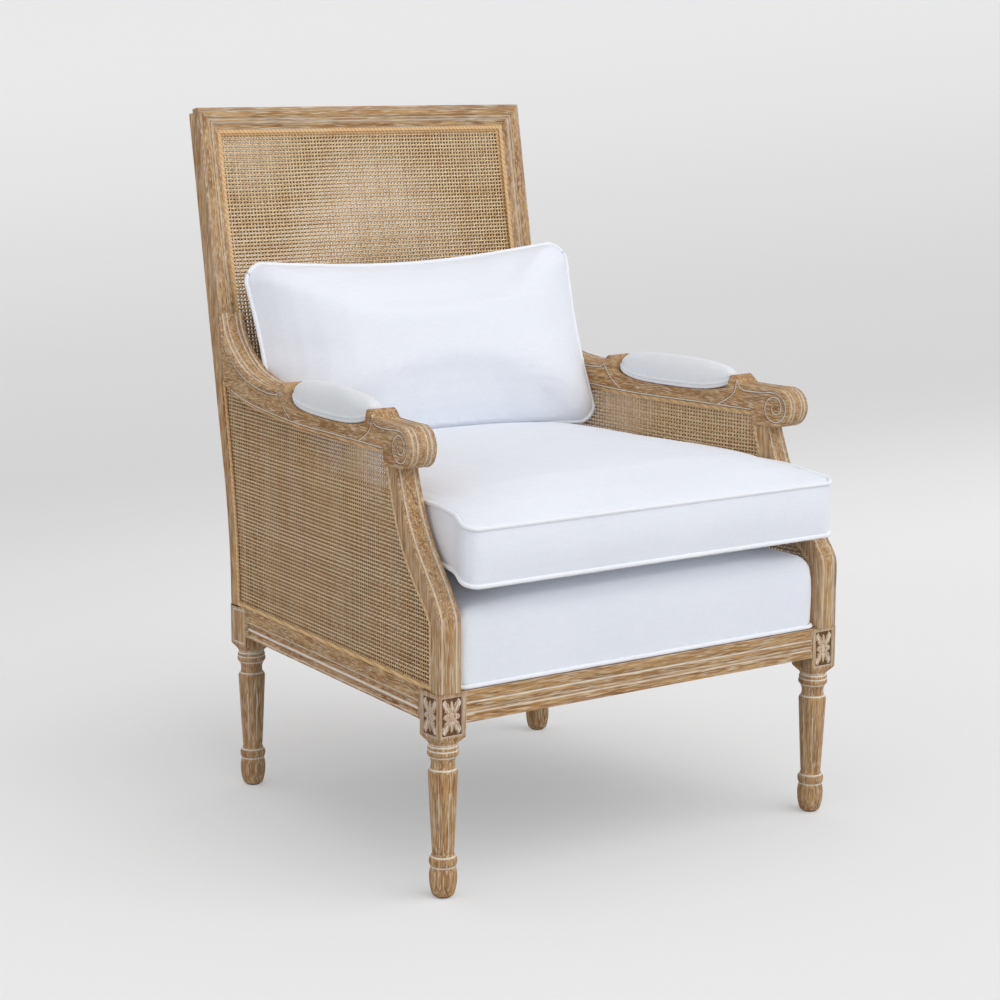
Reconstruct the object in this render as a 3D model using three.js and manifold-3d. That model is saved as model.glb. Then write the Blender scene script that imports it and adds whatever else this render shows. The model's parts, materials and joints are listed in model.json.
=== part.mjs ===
// Bergere armchair with a caned back and sides, turned legs and loose cushions.
// Millimetres, +Z up, the sitter faces -Y, the chair's left side is at -X.
// Heights are measured from the floor, depths from the front face of the front blocks.

import * as THREE from 'three';
import { mergeVertices } from 'three/addons/utils/BufferGeometryUtils.js';
import Module from 'manifold-3d';

const wasm = await Module();
wasm.setup();

// Driving sizes of the whole chair
const frontWidth = 702;
const backWidth = 586;
const frameDepth = 638;
const chairHeight = 1020;
const seatGap = 0.3;
const cutOver = 30;
const weldReach = 0.0005;

// Seat rails and the square blocks that they join
const railTop = 280.6;
const railHeight = 43;
const railThickness = 27;
const sideRailThickness = 32;
const railSetback = 1.2;
const rearRailSetback = 2.2;
const blockSize = 43.6;
const blockBottom = 220.8;
const blockNeck = 38.4;
const blockChamfer = 11;

// Turned legs
const collarTop = 209.8;
const collarRadius = 21.2;
const shoulderRadius = 20;
const shoulderHeight = 171;
const ankleRadius = 14.3;
const ankleHeight = 60;
const footRadius = 18.75;
const footHeight = 43;
const glideHeight = 3;
const glideRadius = 11;
const glideEdge = 1;
const fluteCount = 8;
const fluteBottom = 71;
const fluteTop = 147;
const fluteDepth = 1.5;
const fluteLead = 3;
const fluteHalfAngle = THREE.MathUtils.degToRad(7);

// Raked back
const backRake = THREE.MathUtils.degToRad(9.75);
const bendStart = 285;
const bendEnd = 480;
const stileTopDepth = 33;
const backOuter = 294.7;
const stileWidth = 32.7;
const faceDepth = 17;
const rearSetback = 1.7;
const rearTopDrop = 5;
const rearCornerCut = 2;
const lowerRailHeight = 34;
const crestHeight = 31;

// Side frames, measured inward from the outer side plane
const supportWidth = 34;
const supportDepth = 22;
const supportSwell = 6;
const kneeHeight = 383;
const supportSweepShare = 0.6291;
const armThickness = 42;
const armProud = 5;
const scrollRadius = 28.5;
const scrollInset = 18;
const scrollHeight = 593;
const voluteWidth = 3;
const voluteDepth = 1.6;
const voluteEye = 4.5;
const voluteTurns = 1.75;

// Cane panels and the reed splines that hold them
const caneRebate = 6.3;
const caneThickness = 2.4;
const caneTongue = 6;
const splineWidth = 5;
const splineThickness = 2.4;
const splineSetback = 0.9;

// Upholstery
const weltRadius = 3.2;
const deckFront = 6;
const deckRearGap = 50;
const deckHeight = 104;
const deckCrown = 34;
const webThickness = 2;
const webWidth = 60;
const cushionFront = -24;
const cushionRearGap = 52;
const cushionWall = 80;
const cushionBottom = 438;
const cushionDroop = 17;
const cushionCrown = 26;
const pillowWidth = 532;
const pillowHeight = 290;
const pillowThickness = 142;
const padCrown = 46;
const deckRear = frameDepth - deckRearGap;
const cushionRear = frameDepth - cushionRearGap;

// Shared plane of the tapering side frames
const sideTaper = Math.atan((frontWidth - backWidth) / 2 / frameDepth);
const sideCos = Math.cos(sideTaper);
const sideMatrix = new THREE.Matrix4()
  .makeRotationZ(-sideTaper)
  .setPosition(-frontWidth / 2, 0, 0);

// Colours of the finishes
const limedOak = new THREE.MeshStandardMaterial({ color: 0xb99b78, roughness: 0.72 });
const hiddenBeech = new THREE.MeshStandardMaterial({ color: 0xc9ad85, roughness: 0.8 });
const cane = new THREE.MeshStandardMaterial({ color: 0xcda468, roughness: 0.6 });
const linen = new THREE.MeshStandardMaterial({ color: 0xeceef4, roughness: 0.95 });
const webbing = new THREE.MeshStandardMaterial({ color: 0x8c7a5c, roughness: 0.9 });
const cambric = new THREE.MeshStandardMaterial({ color: 0x1c1c1e, roughness: 0.95 });
const felt = new THREE.MeshStandardMaterial({ color: 0x5d5148, roughness: 1 });

// Mesh helpers: one closed body each, position only, faces pointing out
function weld(geometry) {
  const clean = geometry.clone();
  for (const name of Object.keys(clean.attributes)) {
    if (name !== 'position') clean.deleteAttribute(name);
  }
  const merged = mergeVertices(clean, weldReach);
  const corners = merged.index.array;
  const faces = [];
  for (let i = 0; i < corners.length; i += 3) {
    const [a, b, c] = [corners[i], corners[i + 1], corners[i + 2]];
    if (a !== b && b !== c && c !== a) faces.push(a, b, c);
  }
  merged.setIndex(faces);
  return outward(merged);
}

function signedVolume(geometry) {
  const place = geometry.attributes.position;
  const corners = geometry.index.array;
  const [a, b, c] = [new THREE.Vector3(), new THREE.Vector3(), new THREE.Vector3()];
  let volume = 0;
  for (let i = 0; i < corners.length; i += 3) {
    a.fromBufferAttribute(place, corners[i]);
    b.fromBufferAttribute(place, corners[i + 1]);
    c.fromBufferAttribute(place, corners[i + 2]);
    volume += a.dot(b.cross(c)) / 6;
  }
  return volume;
}

function flipped(geometry) {
  const corners = Array.from(geometry.index.array);
  for (let i = 0; i < corners.length; i += 3) {
    [corners[i], corners[i + 1]] = [corners[i + 1], corners[i]];
  }
  geometry.setIndex(corners);
  return geometry;
}

function outward(geometry) {
  return signedVolume(geometry) < 0 ? flipped(geometry) : geometry;
}

function mirrored(geometry) {
  const copy = geometry.clone();
  copy.applyMatrix4(new THREE.Matrix4().makeScale(-1, 1, 1));
  return outward(copy);
}

function toSolid(geometry) {
  const welded = weld(geometry);
  return new wasm.Manifold(
    new wasm.Mesh({
      numProp: 3,
      vertProperties: new Float32Array(welded.attributes.position.array),
      triVerts: new Uint32Array(welded.index.array),
    }),
  );
}

function fromSolid(solid) {
  const mesh = solid.getMesh();
  const geometry = new THREE.BufferGeometry();
  geometry.setAttribute('position', new THREE.BufferAttribute(mesh.vertProperties, 3));
  geometry.setIndex(new THREE.BufferAttribute(mesh.triVerts, 1));
  return geometry;
}

function joined(base, ...others) {
  return fromSolid(others.reduce((sum, other) => sum.add(toSolid(other)), toSolid(base)));
}

function cut(base, ...tools) {
  return fromSolid(tools.reduce((left, tool) => left.subtract(toSolid(tool)), toSolid(base)));
}

function kept(base, region) {
  return fromSolid(toSolid(base).intersect(toSolid(region)));
}

// A box between two corners
function boxBetween(low, high) {
  const size = high.map((value, i) => value - low[i]);
  const box = new THREE.BoxGeometry(...size);
  box.translate(...low.map((value, i) => value + size[i] / 2));
  return box;
}

// A solid skinned over rings of points that all follow one flat section
function skin(section, rings) {
  const count = section.length;
  const places = rings.flat().flatMap((point) => [point.x, point.y, point.z]);
  const corners = [];
  for (let ring = 0; ring + 1 < rings.length; ring++) {
    for (let i = 0; i < count; i++) {
      const [a, b] = [ring * count + i, ring * count + ((i + 1) % count)];
      corners.push(a, b, b + count, a, b + count, a + count);
    }
  }
  const last = (rings.length - 1) * count;
  for (const [a, b, c] of THREE.ShapeUtils.triangulateShape(section, [])) {
    corners.push(c, b, a, last + a, last + b, last + c);
  }
  if (THREE.ShapeUtils.area(section) < 0) {
    for (let i = (rings.length - 1) * count * 6; i < corners.length; i += 3) {
      [corners[i], corners[i + 1]] = [corners[i + 1], corners[i]];
    }
  }
  const geometry = new THREE.BufferGeometry();
  geometry.setAttribute('position', new THREE.Float32BufferAttribute(places, 3));
  geometry.setIndex(corners);
  return outward(geometry);
}

// A padded solid: rings of one outline between a lowest and a highest middle point
function padded(rings, bottomMiddle, topMiddle) {
  const count = rings[0].length;
  const places = [bottomMiddle, ...rings.flat(), topMiddle].flatMap((p) => [p.x, p.y, p.z]);
  const corners = [];
  const topIndex = rings.length * count + 1;
  for (let i = 0; i < count; i++) {
    const next = (i + 1) % count;
    corners.push(0, 1 + next, 1 + i);
    for (let ring = 0; ring + 1 < rings.length; ring++) {
      const [a, b] = [1 + ring * count + i, 1 + ring * count + next];
      corners.push(a, b, b + count, a, b + count, a + count);
    }
    const lastRing = 1 + (rings.length - 1) * count;
    corners.push(lastRing + i, lastRing + next, topIndex);
  }
  const geometry = new THREE.BufferGeometry();
  geometry.setAttribute('position', new THREE.Float32BufferAttribute(places, 3));
  geometry.setIndex(corners);
  return outward(geometry);
}

// An outline in the side plane, (setback, height), as a solid between two depths inward
const sideBasis = new THREE.Matrix4().makeBasis(
  new THREE.Vector3(0, 1, 0),
  new THREE.Vector3(0, 0, 1),
  new THREE.Vector3(1, 0, 0),
);

function sideExtrude(outline, inner, outer) {
  const shape = outline instanceof THREE.Shape ? outline : new THREE.Shape(outline);
  const geometry = new THREE.ExtrudeGeometry(shape, { depth: outer - inner, bevelEnabled: false });
  geometry.translate(0, 0, inner);
  geometry.applyMatrix4(sideBasis);
  return weld(geometry);
}

// The same with the edges of both faces cut off by a bevel
function sideBevelled(outline, inner, outer, bevel) {
  const layer = (points, across) => points.map(({ x, y }) => new THREE.Vector3(across, x, y));
  const face = inset(outline, bevel);
  return skin(outline, [
    layer(face, inner),
    layer(outline, inner + bevel),
    layer(outline, outer - bevel),
    layer(face, outer),
  ]);
}

function onSide(geometry) {
  return geometry.clone().applyMatrix4(sideMatrix);
}

function offSide(geometry) {
  return geometry.clone().applyMatrix4(sideMatrix.clone().invert());
}

// Moves each point of an outline inward by a distance, along the mitre of its two edges
function inset(outline, distance) {
  const turn = Math.sign(THREE.ShapeUtils.area(outline));
  return outline.map((point, i) => {
    const before = outline[(i + outline.length - 1) % outline.length];
    const after = outline[(i + 1) % outline.length];
    const a = point.clone().sub(before).normalize();
    const b = after.clone().sub(point).normalize();
    const normalA = new THREE.Vector2(-a.y, a.x);
    const normalB = new THREE.Vector2(-b.y, b.x);
    const mitre = normalA.clone().add(normalB).normalize();
    return point.clone().addScaledVector(mitre, (turn * distance) / mitre.dot(normalA));
  });
}

// Back line: upright at the block, bent between two heights, then straight at the rake
const blockCentreDepth = frameDepth - blockSize / 2;
const rakeRise = Math.tan(backRake);
const bendLength = bendEnd - bendStart;

function backCentre(height) {
  const bend = THREE.MathUtils.clamp((height - bendStart) / bendLength, 0, 1);
  const straight = Math.max(height - bendEnd, 0);
  return {
    depth: blockCentreDepth + (rakeRise * bendLength * bend * bend) / 2 + rakeRise * straight,
    lean: Math.atan(rakeRise * bend),
  };
}

function stileDepth(height) {
  const share = (height - bendStart) / (chairHeight - bendStart);
  return THREE.MathUtils.lerp(blockSize, stileTopDepth, Math.max(share, 0));
}

const crestCentre = chairHeight - (stileTopDepth / 2) * Math.sin(backRake);

const faceFrameFoot = railTop + seatGap;

// A point of the back at a height along its line and a distance behind its front face
function backPoint(across, height, behind) {
  const { depth, lean } = backCentre(height);
  const forward = stileDepth(height) / 2 - behind;
  return new THREE.Vector3(
    across,
    depth - forward * Math.cos(lean),
    height + forward * Math.sin(lean),
  );
}

// Setback along the side plane of the back's front face or centre line at a height
function backSetback(height, behind) {
  return backPoint(0, height, behind).y / sideCos;
}

function stations(low, high, steps) {
  return Array.from({ length: steps + 1 }, (_, i) => THREE.MathUtils.lerp(low, high, i / steps));
}

// Front post of a side frame: straight to the knee, then swept back up to the scroll
const supportTop = scrollHeight - scrollRadius - seatGap;
const sweepRise = supportTop - kneeHeight;
const supportSweep = sweepRise * supportSweepShare;
const scrollSetback = supportSweep - scrollInset;
const supportSweepShares = [
  [0, -0.07],
  [0.04, 0.03],
  [0.2, 0.17],
  [0.41, 0.32],
  [0.63, 0.49],
  [0.82, 0.69],
  [0.95, 0.9],
  [1, 1],
];
const supportFront = new THREE.SplineCurve([
  new THREE.Vector2(0, railTop + seatGap),
  new THREE.Vector2(0, (railTop + kneeHeight) / 2),
  ...supportSweepShares.map(
    ([back, up]) => new THREE.Vector2(back * supportSweep, kneeHeight + up * sweepRise),
  ),
]);
const supportSteps = 16;

function supportStation(share) {
  const front = supportFront.getPointAt(share);
  const along = supportFront.getTangentAt(share);
  if (share === 0 || share === 1) along.set(0, 1);
  const back = new THREE.Vector2(along.y, -along.x);
  const swell = Math.sin(Math.PI * THREE.MathUtils.smoothstep(share, 0.2, 1));
  return { front, back, depth: supportDepth + supportSwell * swell };
}

// Face of the support across its width: bead, groove, hollow field, groove, bead
const supportBead = 4.6;
const supportBeadRise = 1;
const supportQuirk = 1.6;
const supportQuirkDepth = 1.8;
const supportHollow = 1.4;
const supportFace = [
  [0, supportBeadRise],
  [supportBead / 2, 0],
  [supportBead, supportBeadRise],
  [supportBead + supportQuirk / 2, supportQuirkDepth],
  [supportBead + supportQuirk, supportHollow / 2],
  [supportWidth / 2, supportHollow],
  [supportWidth - supportBead - supportQuirk, supportHollow / 2],
  [supportWidth - supportBead - supportQuirk / 2, supportQuirkDepth],
  [supportWidth - supportBead, supportBeadRise],
  [supportWidth - supportBead / 2, 0],
  [supportWidth, supportBeadRise],
];

function armSupport() {
  const section = [
    ...supportFace.map(([across, behind]) => new THREE.Vector2(across, behind)),
    new THREE.Vector2(supportWidth, supportDepth),
    new THREE.Vector2(0, supportDepth),
  ];
  const rings = stations(0, 1, supportSteps).map((share) => {
    const { front, back, depth } = supportStation(share);
    return section.map(({ x, y }) => {
      const behind = y === supportDepth ? depth + caneTongue : y;
      const place = front.clone().addScaledVector(back, behind);
      return new THREE.Vector3(x, place.x, place.y);
    });
  });
  return cut(skin(section, rings), ...caneCutters());
}

// Cane opening of a side frame, (setback, height), anticlockwise from its lower front corner
const railLap = 1.6;
const archDrop = 9;
const archRise = 43;
const openingBottom = railTop + railLap;
const openingTop = scrollHeight - archDrop;
const openingRearTop = scrollHeight + archRise;
const armUnderShares = [
  [0.975, 0.66],
  [0.92, 0.42],
  [0.83, 0.24],
  [0.72, 0.12],
  [0.5, 0],
];

function underArm(frontTop, rearTop) {
  const under = armUnderShares.map(([along, up]) => {
    return new THREE.Vector2(
      THREE.MathUtils.lerp(frontTop.x, rearTop.x, along),
      THREE.MathUtils.lerp(openingTop, openingRearTop, up),
    );
  });
  return [rearTop, ...under, frontTop];
}

function rearEdge(behind, high) {
  return stations(openingBottom, high, 6).map((height) => {
    const depth = behind === null ? stileDepth(height) / 2 : behind;
    return new THREE.Vector2(backSetback(height, depth), height);
  });
}

// The outer panel laps over the front half of the back post
function outerOpening() {
  const frontEdge = stations(0, 1, supportSteps)
    .map((share) => {
      const { front, back, depth } = supportStation(share);
      return front.clone().addScaledVector(back, depth);
    })
    .filter((point) => point.y > openingBottom + splineWidth && point.y < openingTop - splineWidth)
    .reverse();
  const rear = rearEdge(null, openingRearTop);
  const frontTop = new THREE.Vector2(frontEdge[0].x + splineWidth / 2, openingTop);
  const frontBottom = new THREE.Vector2(frontEdge.at(-1).x, openingBottom);
  const under = underArm(frontTop, rear.at(-1)).slice(1);
  return [frontBottom, ...rear, ...under, ...frontEdge];
}

// The inner panel stops at the front face of the back
function innerOpening(outer) {
  const beyond = ({ x, y }) => x - backSetback(y, -seatGap);
  const last = outer.findIndex((point, i) => i > 2 && beyond(point) < 0);
  const [a, b] = [outer[last - 1], outer[last]];
  const share = beyond(a) / (beyond(a) - beyond(b));
  const meet = a.clone().lerp(b, share);
  return [outer[0], ...rearEdge(-seatGap, meet.y), ...outer.slice(last)];
}

const opening = outerOpening();
const openingInside = innerOpening(opening);

function caneCutters() {
  return [
    sideExtrude(opening, -cutOver, caneRebate),
    sideExtrude(openingInside, supportWidth - caneRebate, supportWidth + cutOver),
  ];
}

// Panels lie on the floor of their rebates, with a reed spline pressed over their edge
function sideCane(inner) {
  const floor = caneRebate - seatGap;
  const low = inner ? supportWidth - floor : floor - caneThickness;
  const outline = inner ? openingInside : opening;
  return sideExtrude(inset(outline, seatGap), low, low + caneThickness);
}

function sideSpline(inner) {
  const outline = inner ? openingInside : opening;
  const shape = new THREE.Shape(inset(outline, seatGap));
  shape.holes.push(new THREE.Path(inset(outline, seatGap + splineWidth)));
  const low = inner ? supportWidth - splineSetback - splineThickness : splineSetback;
  return sideExtrude(shape, low, low + splineThickness);
}

// Armrest: scroll at the front, seat for the pad between two knuckles, sweep up to the stile
const knuckleReach = 90;
const knuckleRearShare = 0.6897;
const knuckleRise = 40;
const knuckleRearRise = 46;
const padSeatLift = 11;
const padSeatRise = 12;
const padSeatSteps = 14;
const knuckleFront = scrollSetback + knuckleReach;
const knuckleRear = knuckleRearShare * frameDepth;
const knuckleFrontHeight = scrollHeight + knuckleRise;
const knuckleRearHeight = scrollHeight + knuckleRearRise;
const padSeatHeight = scrollHeight + padSeatLift;
const knuckleRun = 12;
const padRun = 6;
const bevelCut = 2.2;
const arcSteps = 14;
const armSwell = 1;
const armEndRise = 128;
const armEndHeight = 99;
const armEndTop = scrollHeight + armEndRise;
const armEndBottom = armEndTop - armEndHeight;
const armSweepShares = [
  [0.04, 0],
  [0.087, -0.12],
  [0.27, -0.14],
  [0.45, -0.085],
  [0.633, 0.037],
  [0.789, 0.244],
  [0.904, 0.488],
  [0.968, 0.73],
];

function padSeat(setback) {
  const share = (setback - knuckleFront) / (knuckleRear - knuckleFront);
  return padSeatHeight + padSeatRise * Math.abs(2 * share - 1) ** 3;
}

function armOutline() {
  const end = (height) => backSetback(height, 0) - seatGap;
  const underside = opening.filter(({ x, y }) => y > openingTop - seatGap && x < end(y) - caneTongue);
  const foot = scrollSetback + supportDepth * 2;
  const shape = new THREE.Shape();
  shape.moveTo(end(armEndBottom), armEndBottom);
  for (const { x, y } of underside.slice(0, -1)) shape.lineTo(x, y - caneTongue);
  shape.lineTo(foot, openingTop - caneTongue);
  shape.lineTo(foot, scrollHeight - scrollRadius);
  shape.absarc(scrollSetback, scrollHeight, scrollRadius, -Math.PI / 2, Math.PI / 2, true);
  const top = scrollHeight + scrollRadius;
  const knuckleStart = knuckleFront - knuckleRun * 2;
  shape.lineTo(knuckleStart - knuckleRun * 3, top - armSwell / 2);
  shape.lineTo(knuckleStart, top + armSwell);
  shape.quadraticCurveTo(knuckleFront - knuckleRun, knuckleFrontHeight, knuckleFront, knuckleFrontHeight);
  const seatFront = knuckleFront + padRun;
  const seatRear = knuckleRear - padRun;
  for (const setback of stations(seatFront, seatRear, padSeatSteps)) {
    shape.lineTo(setback, padSeat(setback));
  }
  shape.lineTo(knuckleRear, knuckleRearHeight);
  const sweepRun = end(armEndTop) - knuckleRear;
  const sweepHeight = armEndTop - knuckleRearHeight;
  for (const [along, up] of armSweepShares) {
    shape.lineTo(knuckleRear + along * sweepRun, knuckleRearHeight + up * sweepHeight);
  }
  shape.lineTo(end(armEndTop), armEndTop);
  const points = shape.getPoints(arcSteps);
  return points.filter((point, i) => i === 0 || point.distanceTo(points[i - 1]) > bevelCut / 2);
}

// Volute cut into both faces of the scroll: a groove that winds in from the top of the arm
function voluteGroove(face) {
  const steps = 40;
  const section = [
    new THREE.Vector2(-voluteWidth / 2, -voluteDepth),
    new THREE.Vector2(voluteWidth / 2, -voluteDepth),
    new THREE.Vector2(voluteWidth / 4, voluteDepth),
    new THREE.Vector2(-voluteWidth / 4, voluteDepth),
  ];
  const inwardSign = face === 0 ? 1 : -1;
  const base = face === 0 ? -armProud : armThickness - armProud;
  const startRadius = scrollRadius - voluteWidth * 2;
  const rings = stations(0, 1, steps).map((share) => {
    const radius = THREE.MathUtils.lerp(startRadius, voluteEye, share);
    const angle = Math.PI / 2 + share * voluteTurns * 2 * Math.PI;
    return section.map(({ x, y }) => {
      const reach = radius + x;
      return new THREE.Vector3(
        base + inwardSign * y,
        scrollSetback + reach * Math.cos(angle),
        scrollHeight + reach * Math.sin(angle),
      );
    });
  });
  return skin(section, rings);
}

function armrest() {
  const body = sideBevelled(armOutline(), -armProud, armThickness - armProud, bevelCut);
  return cut(body, ...caneCutters(), voluteGroove(0), voluteGroove(1));
}

// Upholstered arm pad: oval, crowned, with a welt round its foot
const padLength = knuckleRear - knuckleFront - 2 * (padRun + seatGap);
const padSquareness = 0.62;

function armPad() {
  const steps = 28;
  const middle = (knuckleFront + knuckleRear) / 2;
  const across = (armThickness - 2 * armProud) / 2 + weltRadius;
  const middleAcross = armThickness / 2 - armProud;
  const ringAt = (size, lift, draw = (padLength * (1 - size)) / 6) =>
    Array.from({ length: steps }, (_, i) => {
      const angle = (i / steps) * 2 * Math.PI;
      const [c, s] = [Math.cos(angle), Math.sin(angle)];
      const x = Math.sign(c) * Math.abs(c) ** padSquareness;
      const y = Math.sign(s) * Math.abs(s) ** padSquareness;
      const setback = middle + (x * padLength * size) / 2;
      return new THREE.Vector3(
        middleAcross + y * (across - draw),
        setback,
        padSeat(setback) + seatGap + lift,
      );
    });
  const trim = (2 * weltRadius) / padLength;
  const rings = [
    ringAt(0.4, 0, across * 0.6),
    ringAt(0.7, 0, across * 0.3),
    ringAt(1 - 2 * trim, 0),
    ringAt(1 - trim / 2, 0),
    ringAt(1, weltRadius),
    ringAt(1 - trim / 2, 2 * weltRadius),
    ringAt(1 - trim, 2.3 * weltRadius),
    ringAt(0.93, padCrown * 0.62),
    ringAt(0.8, padCrown * 0.88),
  ];
  const foot = new THREE.Vector3(middleAcross, middle, padSeat(middle) + seatGap);
  const crown = foot.clone().setZ(foot.z + padCrown);
  return padded(rings, foot, crown);
}

// Turned leg profile: height and radius as shares of the foot, the neck and the collar
const footShares = [
  [0, 0.74],
  [0.1, 0.84],
  [0.36, 0.96],
  [0.66, 1],
  [0.87, 0.96],
  [1, 0.87],
];
const ringShares = [
  [0.15, 0.95],
  [0.41, 1.01],
  [0.68, 0.96],
  [0.8, 0.784],
];
const neckShares = [
  [-0.1, 0.985],
  [0, 1],
  [0.09, 0.96],
  [0.13, 0.85],
  [0.31, 0.79],
  [0.46, 0.83],
  [0.55, 0.93],
];
const collarShares = [
  [0.61, 0.97],
  [0.7, 1],
  [0.8, 0.95],
  [0.84, 0.906],
  [1.03, 0.906],
];

function profilePart(shares, low, high, radius) {
  return shares.map(([up, wide]) => [THREE.MathUtils.lerp(low, high, up), radius * wide]);
}

const legProfile = [
  ...profilePart(footShares, glideHeight, footHeight, footRadius),
  ...profilePart(ringShares, footHeight, ankleHeight, footRadius),
  [ankleHeight, ankleRadius],
];
const shoulderProfile = [
  ...profilePart(neckShares, shoulderHeight, collarTop, shoulderRadius),
  ...profilePart(collarShares, shoulderHeight, collarTop, collarRadius),
];

function shaftRadius(height) {
  const share = (height - ankleHeight) / (shoulderHeight - ankleHeight);
  return THREE.MathUtils.lerp(ankleRadius, shoulderRadius, Math.sqrt(share) * 0.25 + share * 0.75);
}

// One ring of the turning: per flute a hollow point, its lip and the land beside it
function legRing(height, radius, hollow) {
  const pitch = (2 * Math.PI) / fluteCount;
  const ring = [];
  for (let flute = 0; flute < fluteCount; flute++) {
    const middle = flute * pitch;
    for (const [angle, depth] of [
      [middle, hollow],
      [middle + fluteHalfAngle, 0],
      [middle + pitch - fluteHalfAngle, 0],
    ]) {
      const reach = radius - depth;
      ring.push(new THREE.Vector3(reach * Math.cos(angle), reach * Math.sin(angle), height));
    }
  }
  return ring;
}

function turnedLeg() {
  const shaft = [
    [fluteBottom, 0],
    [fluteBottom + fluteLead, fluteDepth],
    [fluteTop - fluteLead, fluteDepth],
    [fluteTop, 0],
  ].map(([height, hollow]) => [height, shaftRadius(height), hollow]);
  const rings = [...legProfile, ...shaft, ...shoulderProfile].map(([height, radius, hollow = 0]) =>
    legRing(height, radius, hollow),
  );
  const section = rings[0].map((point) => new THREE.Vector2(point.x, point.y));
  return skin(section, rings);
}

// Square block over the turning, with its lower edge chamfered down to the collar
function legBlock() {
  const half = blockSize / 2;
  const neck = (blockNeck / 2) * 0.9;
  const square = [
    [-1, -1],
    [1, -1],
    [1, 1],
    [-1, 1],
  ].map(([x, y]) => new THREE.Vector2(x, y));
  const ring = (reach, height) =>
    square.map(({ x, y }) => new THREE.Vector3(x * reach, y * reach, height));
  return skin(square, [
    ring(neck, blockBottom - blockChamfer),
    ring(half, blockBottom),
    ring(half, railTop),
  ]);
}

// Sunk panel with a four-petalled rosette, on the block's -Y face
const rosetteMargin = 5.5;
const rosetteSink = 2;
const petalLength = 19;
const petalWidth = 9.5;

function rosettePanel() {
  const half = blockSize / 2;
  return boxBetween(
    [-half + rosetteMargin, -half - cutOver, blockBottom + rosetteMargin / 2],
    [half - rosetteMargin, -half + rosetteSink, railTop - rosetteMargin],
  );
}

function rosette() {
  const middle = (blockBottom + rosetteMargin / 2 + railTop - rosetteMargin) / 2;
  const petals = [45, 135, 225, 315].map((degrees) => {
    const petal = new THREE.SphereGeometry(1, 6, 4);
    petal.scale(petalLength / 2, rosetteSink, petalWidth / 2);
    petal.translate(petalLength / 2, 0, 0);
    petal.rotateY(THREE.MathUtils.degToRad(degrees));
    return petal;
  });
  const eye = new THREE.SphereGeometry(petalWidth / 2, 6, 4);
  eye.scale(1, (2 * rosetteSink) / petalWidth, 1);
  const flower = joined(eye, ...petals);
  flower.translate(0, -blockSize / 2 + rosetteSink, middle);
  return flower;
}

// Left front leg: outer faces of its block at the chair's front left corner
function frontLeg() {
  const side = (geometry) => geometry.clone().rotateZ(-Math.PI / 2);
  const body = cut(joined(turnedLeg(), legBlock()), rosettePanel(), side(rosettePanel()));
  const leg = joined(body, rosette(), side(rosette()));
  leg.translate(-frontWidth / 2 + blockSize / 2, blockSize / 2, 0);
  return leg;
}

// Left back post: turned leg, block and the raked stile above it, in one piece of wood
function backPost() {
  const inner = -backOuter + stileWidth;
  const leg = joined(turnedLeg(), legBlock());
  leg.translate(-backWidth / 2 + blockSize / 2, blockCentreDepth, 0);
  const section = [
    [0, 0],
    [0, 1],
    [1, 2],
    [2, 2],
    [3, 1],
    [3, 0],
  ].map(([x, y]) => new THREE.Vector2(x, y));
  const stile = -backOuter + rearSetback;
  const places = [stile, stile + rearCornerCut, inner - rearCornerCut, inner];
  const heights = [railTop - rearCornerCut, ...stations(bendStart, bendEnd, 6)];
  const rings = [...heights, crestCentre - rearTopDrop].map((height) => {
    const back = stileDepth(height);
    const behind = [faceDepth + seatGap, back - rearCornerCut, back];
    return section.map(({ x, y }) => backPoint(places[x], height, behind[y]));
  });
  return cut(joined(leg, skin(section, rings)), onSide(caneCutters()[0]));
}

// Moulded face of the back frame, from its outer edge in: width and depth behind the front
const faceFillet = 4.2;
const faceQuirk = 1.2;
const faceQuirkDepth = 3.4;
const faceOvolo = 12;
const faceBead = 4;
const faceSlope = 7.2;
const faceSection = [
  [0, faceQuirkDepth * 0.41],
  [faceFillet, faceQuirkDepth * 0.41],
  [faceFillet + faceQuirk / 2, faceQuirkDepth],
  [faceFillet + faceQuirk, faceQuirkDepth * 0.47],
  [faceFillet + faceQuirk + faceOvolo * 0.25, faceQuirkDepth * 0.09],
  [faceFillet + faceQuirk + faceOvolo * 0.5, 0],
  [faceFillet + faceQuirk + faceOvolo * 0.75, faceQuirkDepth * 0.24],
  [faceFillet + faceQuirk + faceOvolo, faceQuirkDepth],
  [faceFillet + faceQuirk + faceOvolo + faceBead * 0.4, faceQuirkDepth * 0.62],
  [faceFillet + faceQuirk + faceOvolo + faceBead * 0.8, faceQuirkDepth * 0.76],
  [faceFillet + faceQuirk + faceOvolo + faceBead, faceQuirkDepth * 1.12],
  [stileWidth, faceSlope],
  [stileWidth, faceDepth],
  [0, faceDepth],
].map(([across, behind]) => new THREE.Vector2(across, behind));

function faceStile() {
  const heights = [faceFrameFoot, ...stations(bendStart, bendEnd, 5), armEndTop];
  const rings = heights.map((height) =>
    faceSection.map(({ x, y }) => backPoint(-backOuter + x, height, y)),
  );
  rings.push(
    faceSection.map(({ x, y }) => {
      return backPoint(-backOuter + x, crestCentre - x * Math.cos(backRake), y);
    }),
  );
  return cut(skin(faceSection, rings), onSide(caneCutters()[0]));
}

function faceCrest() {
  const rings = [-1, 1].map((side) =>
    faceSection.map(({ x, y }) => {
      const across = side * (backOuter - x - seatGap * Math.SQRT2);
      return backPoint(across, crestCentre - x * Math.cos(backRake), y);
    }),
  );
  return skin(faceSection, rings);
}

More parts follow.
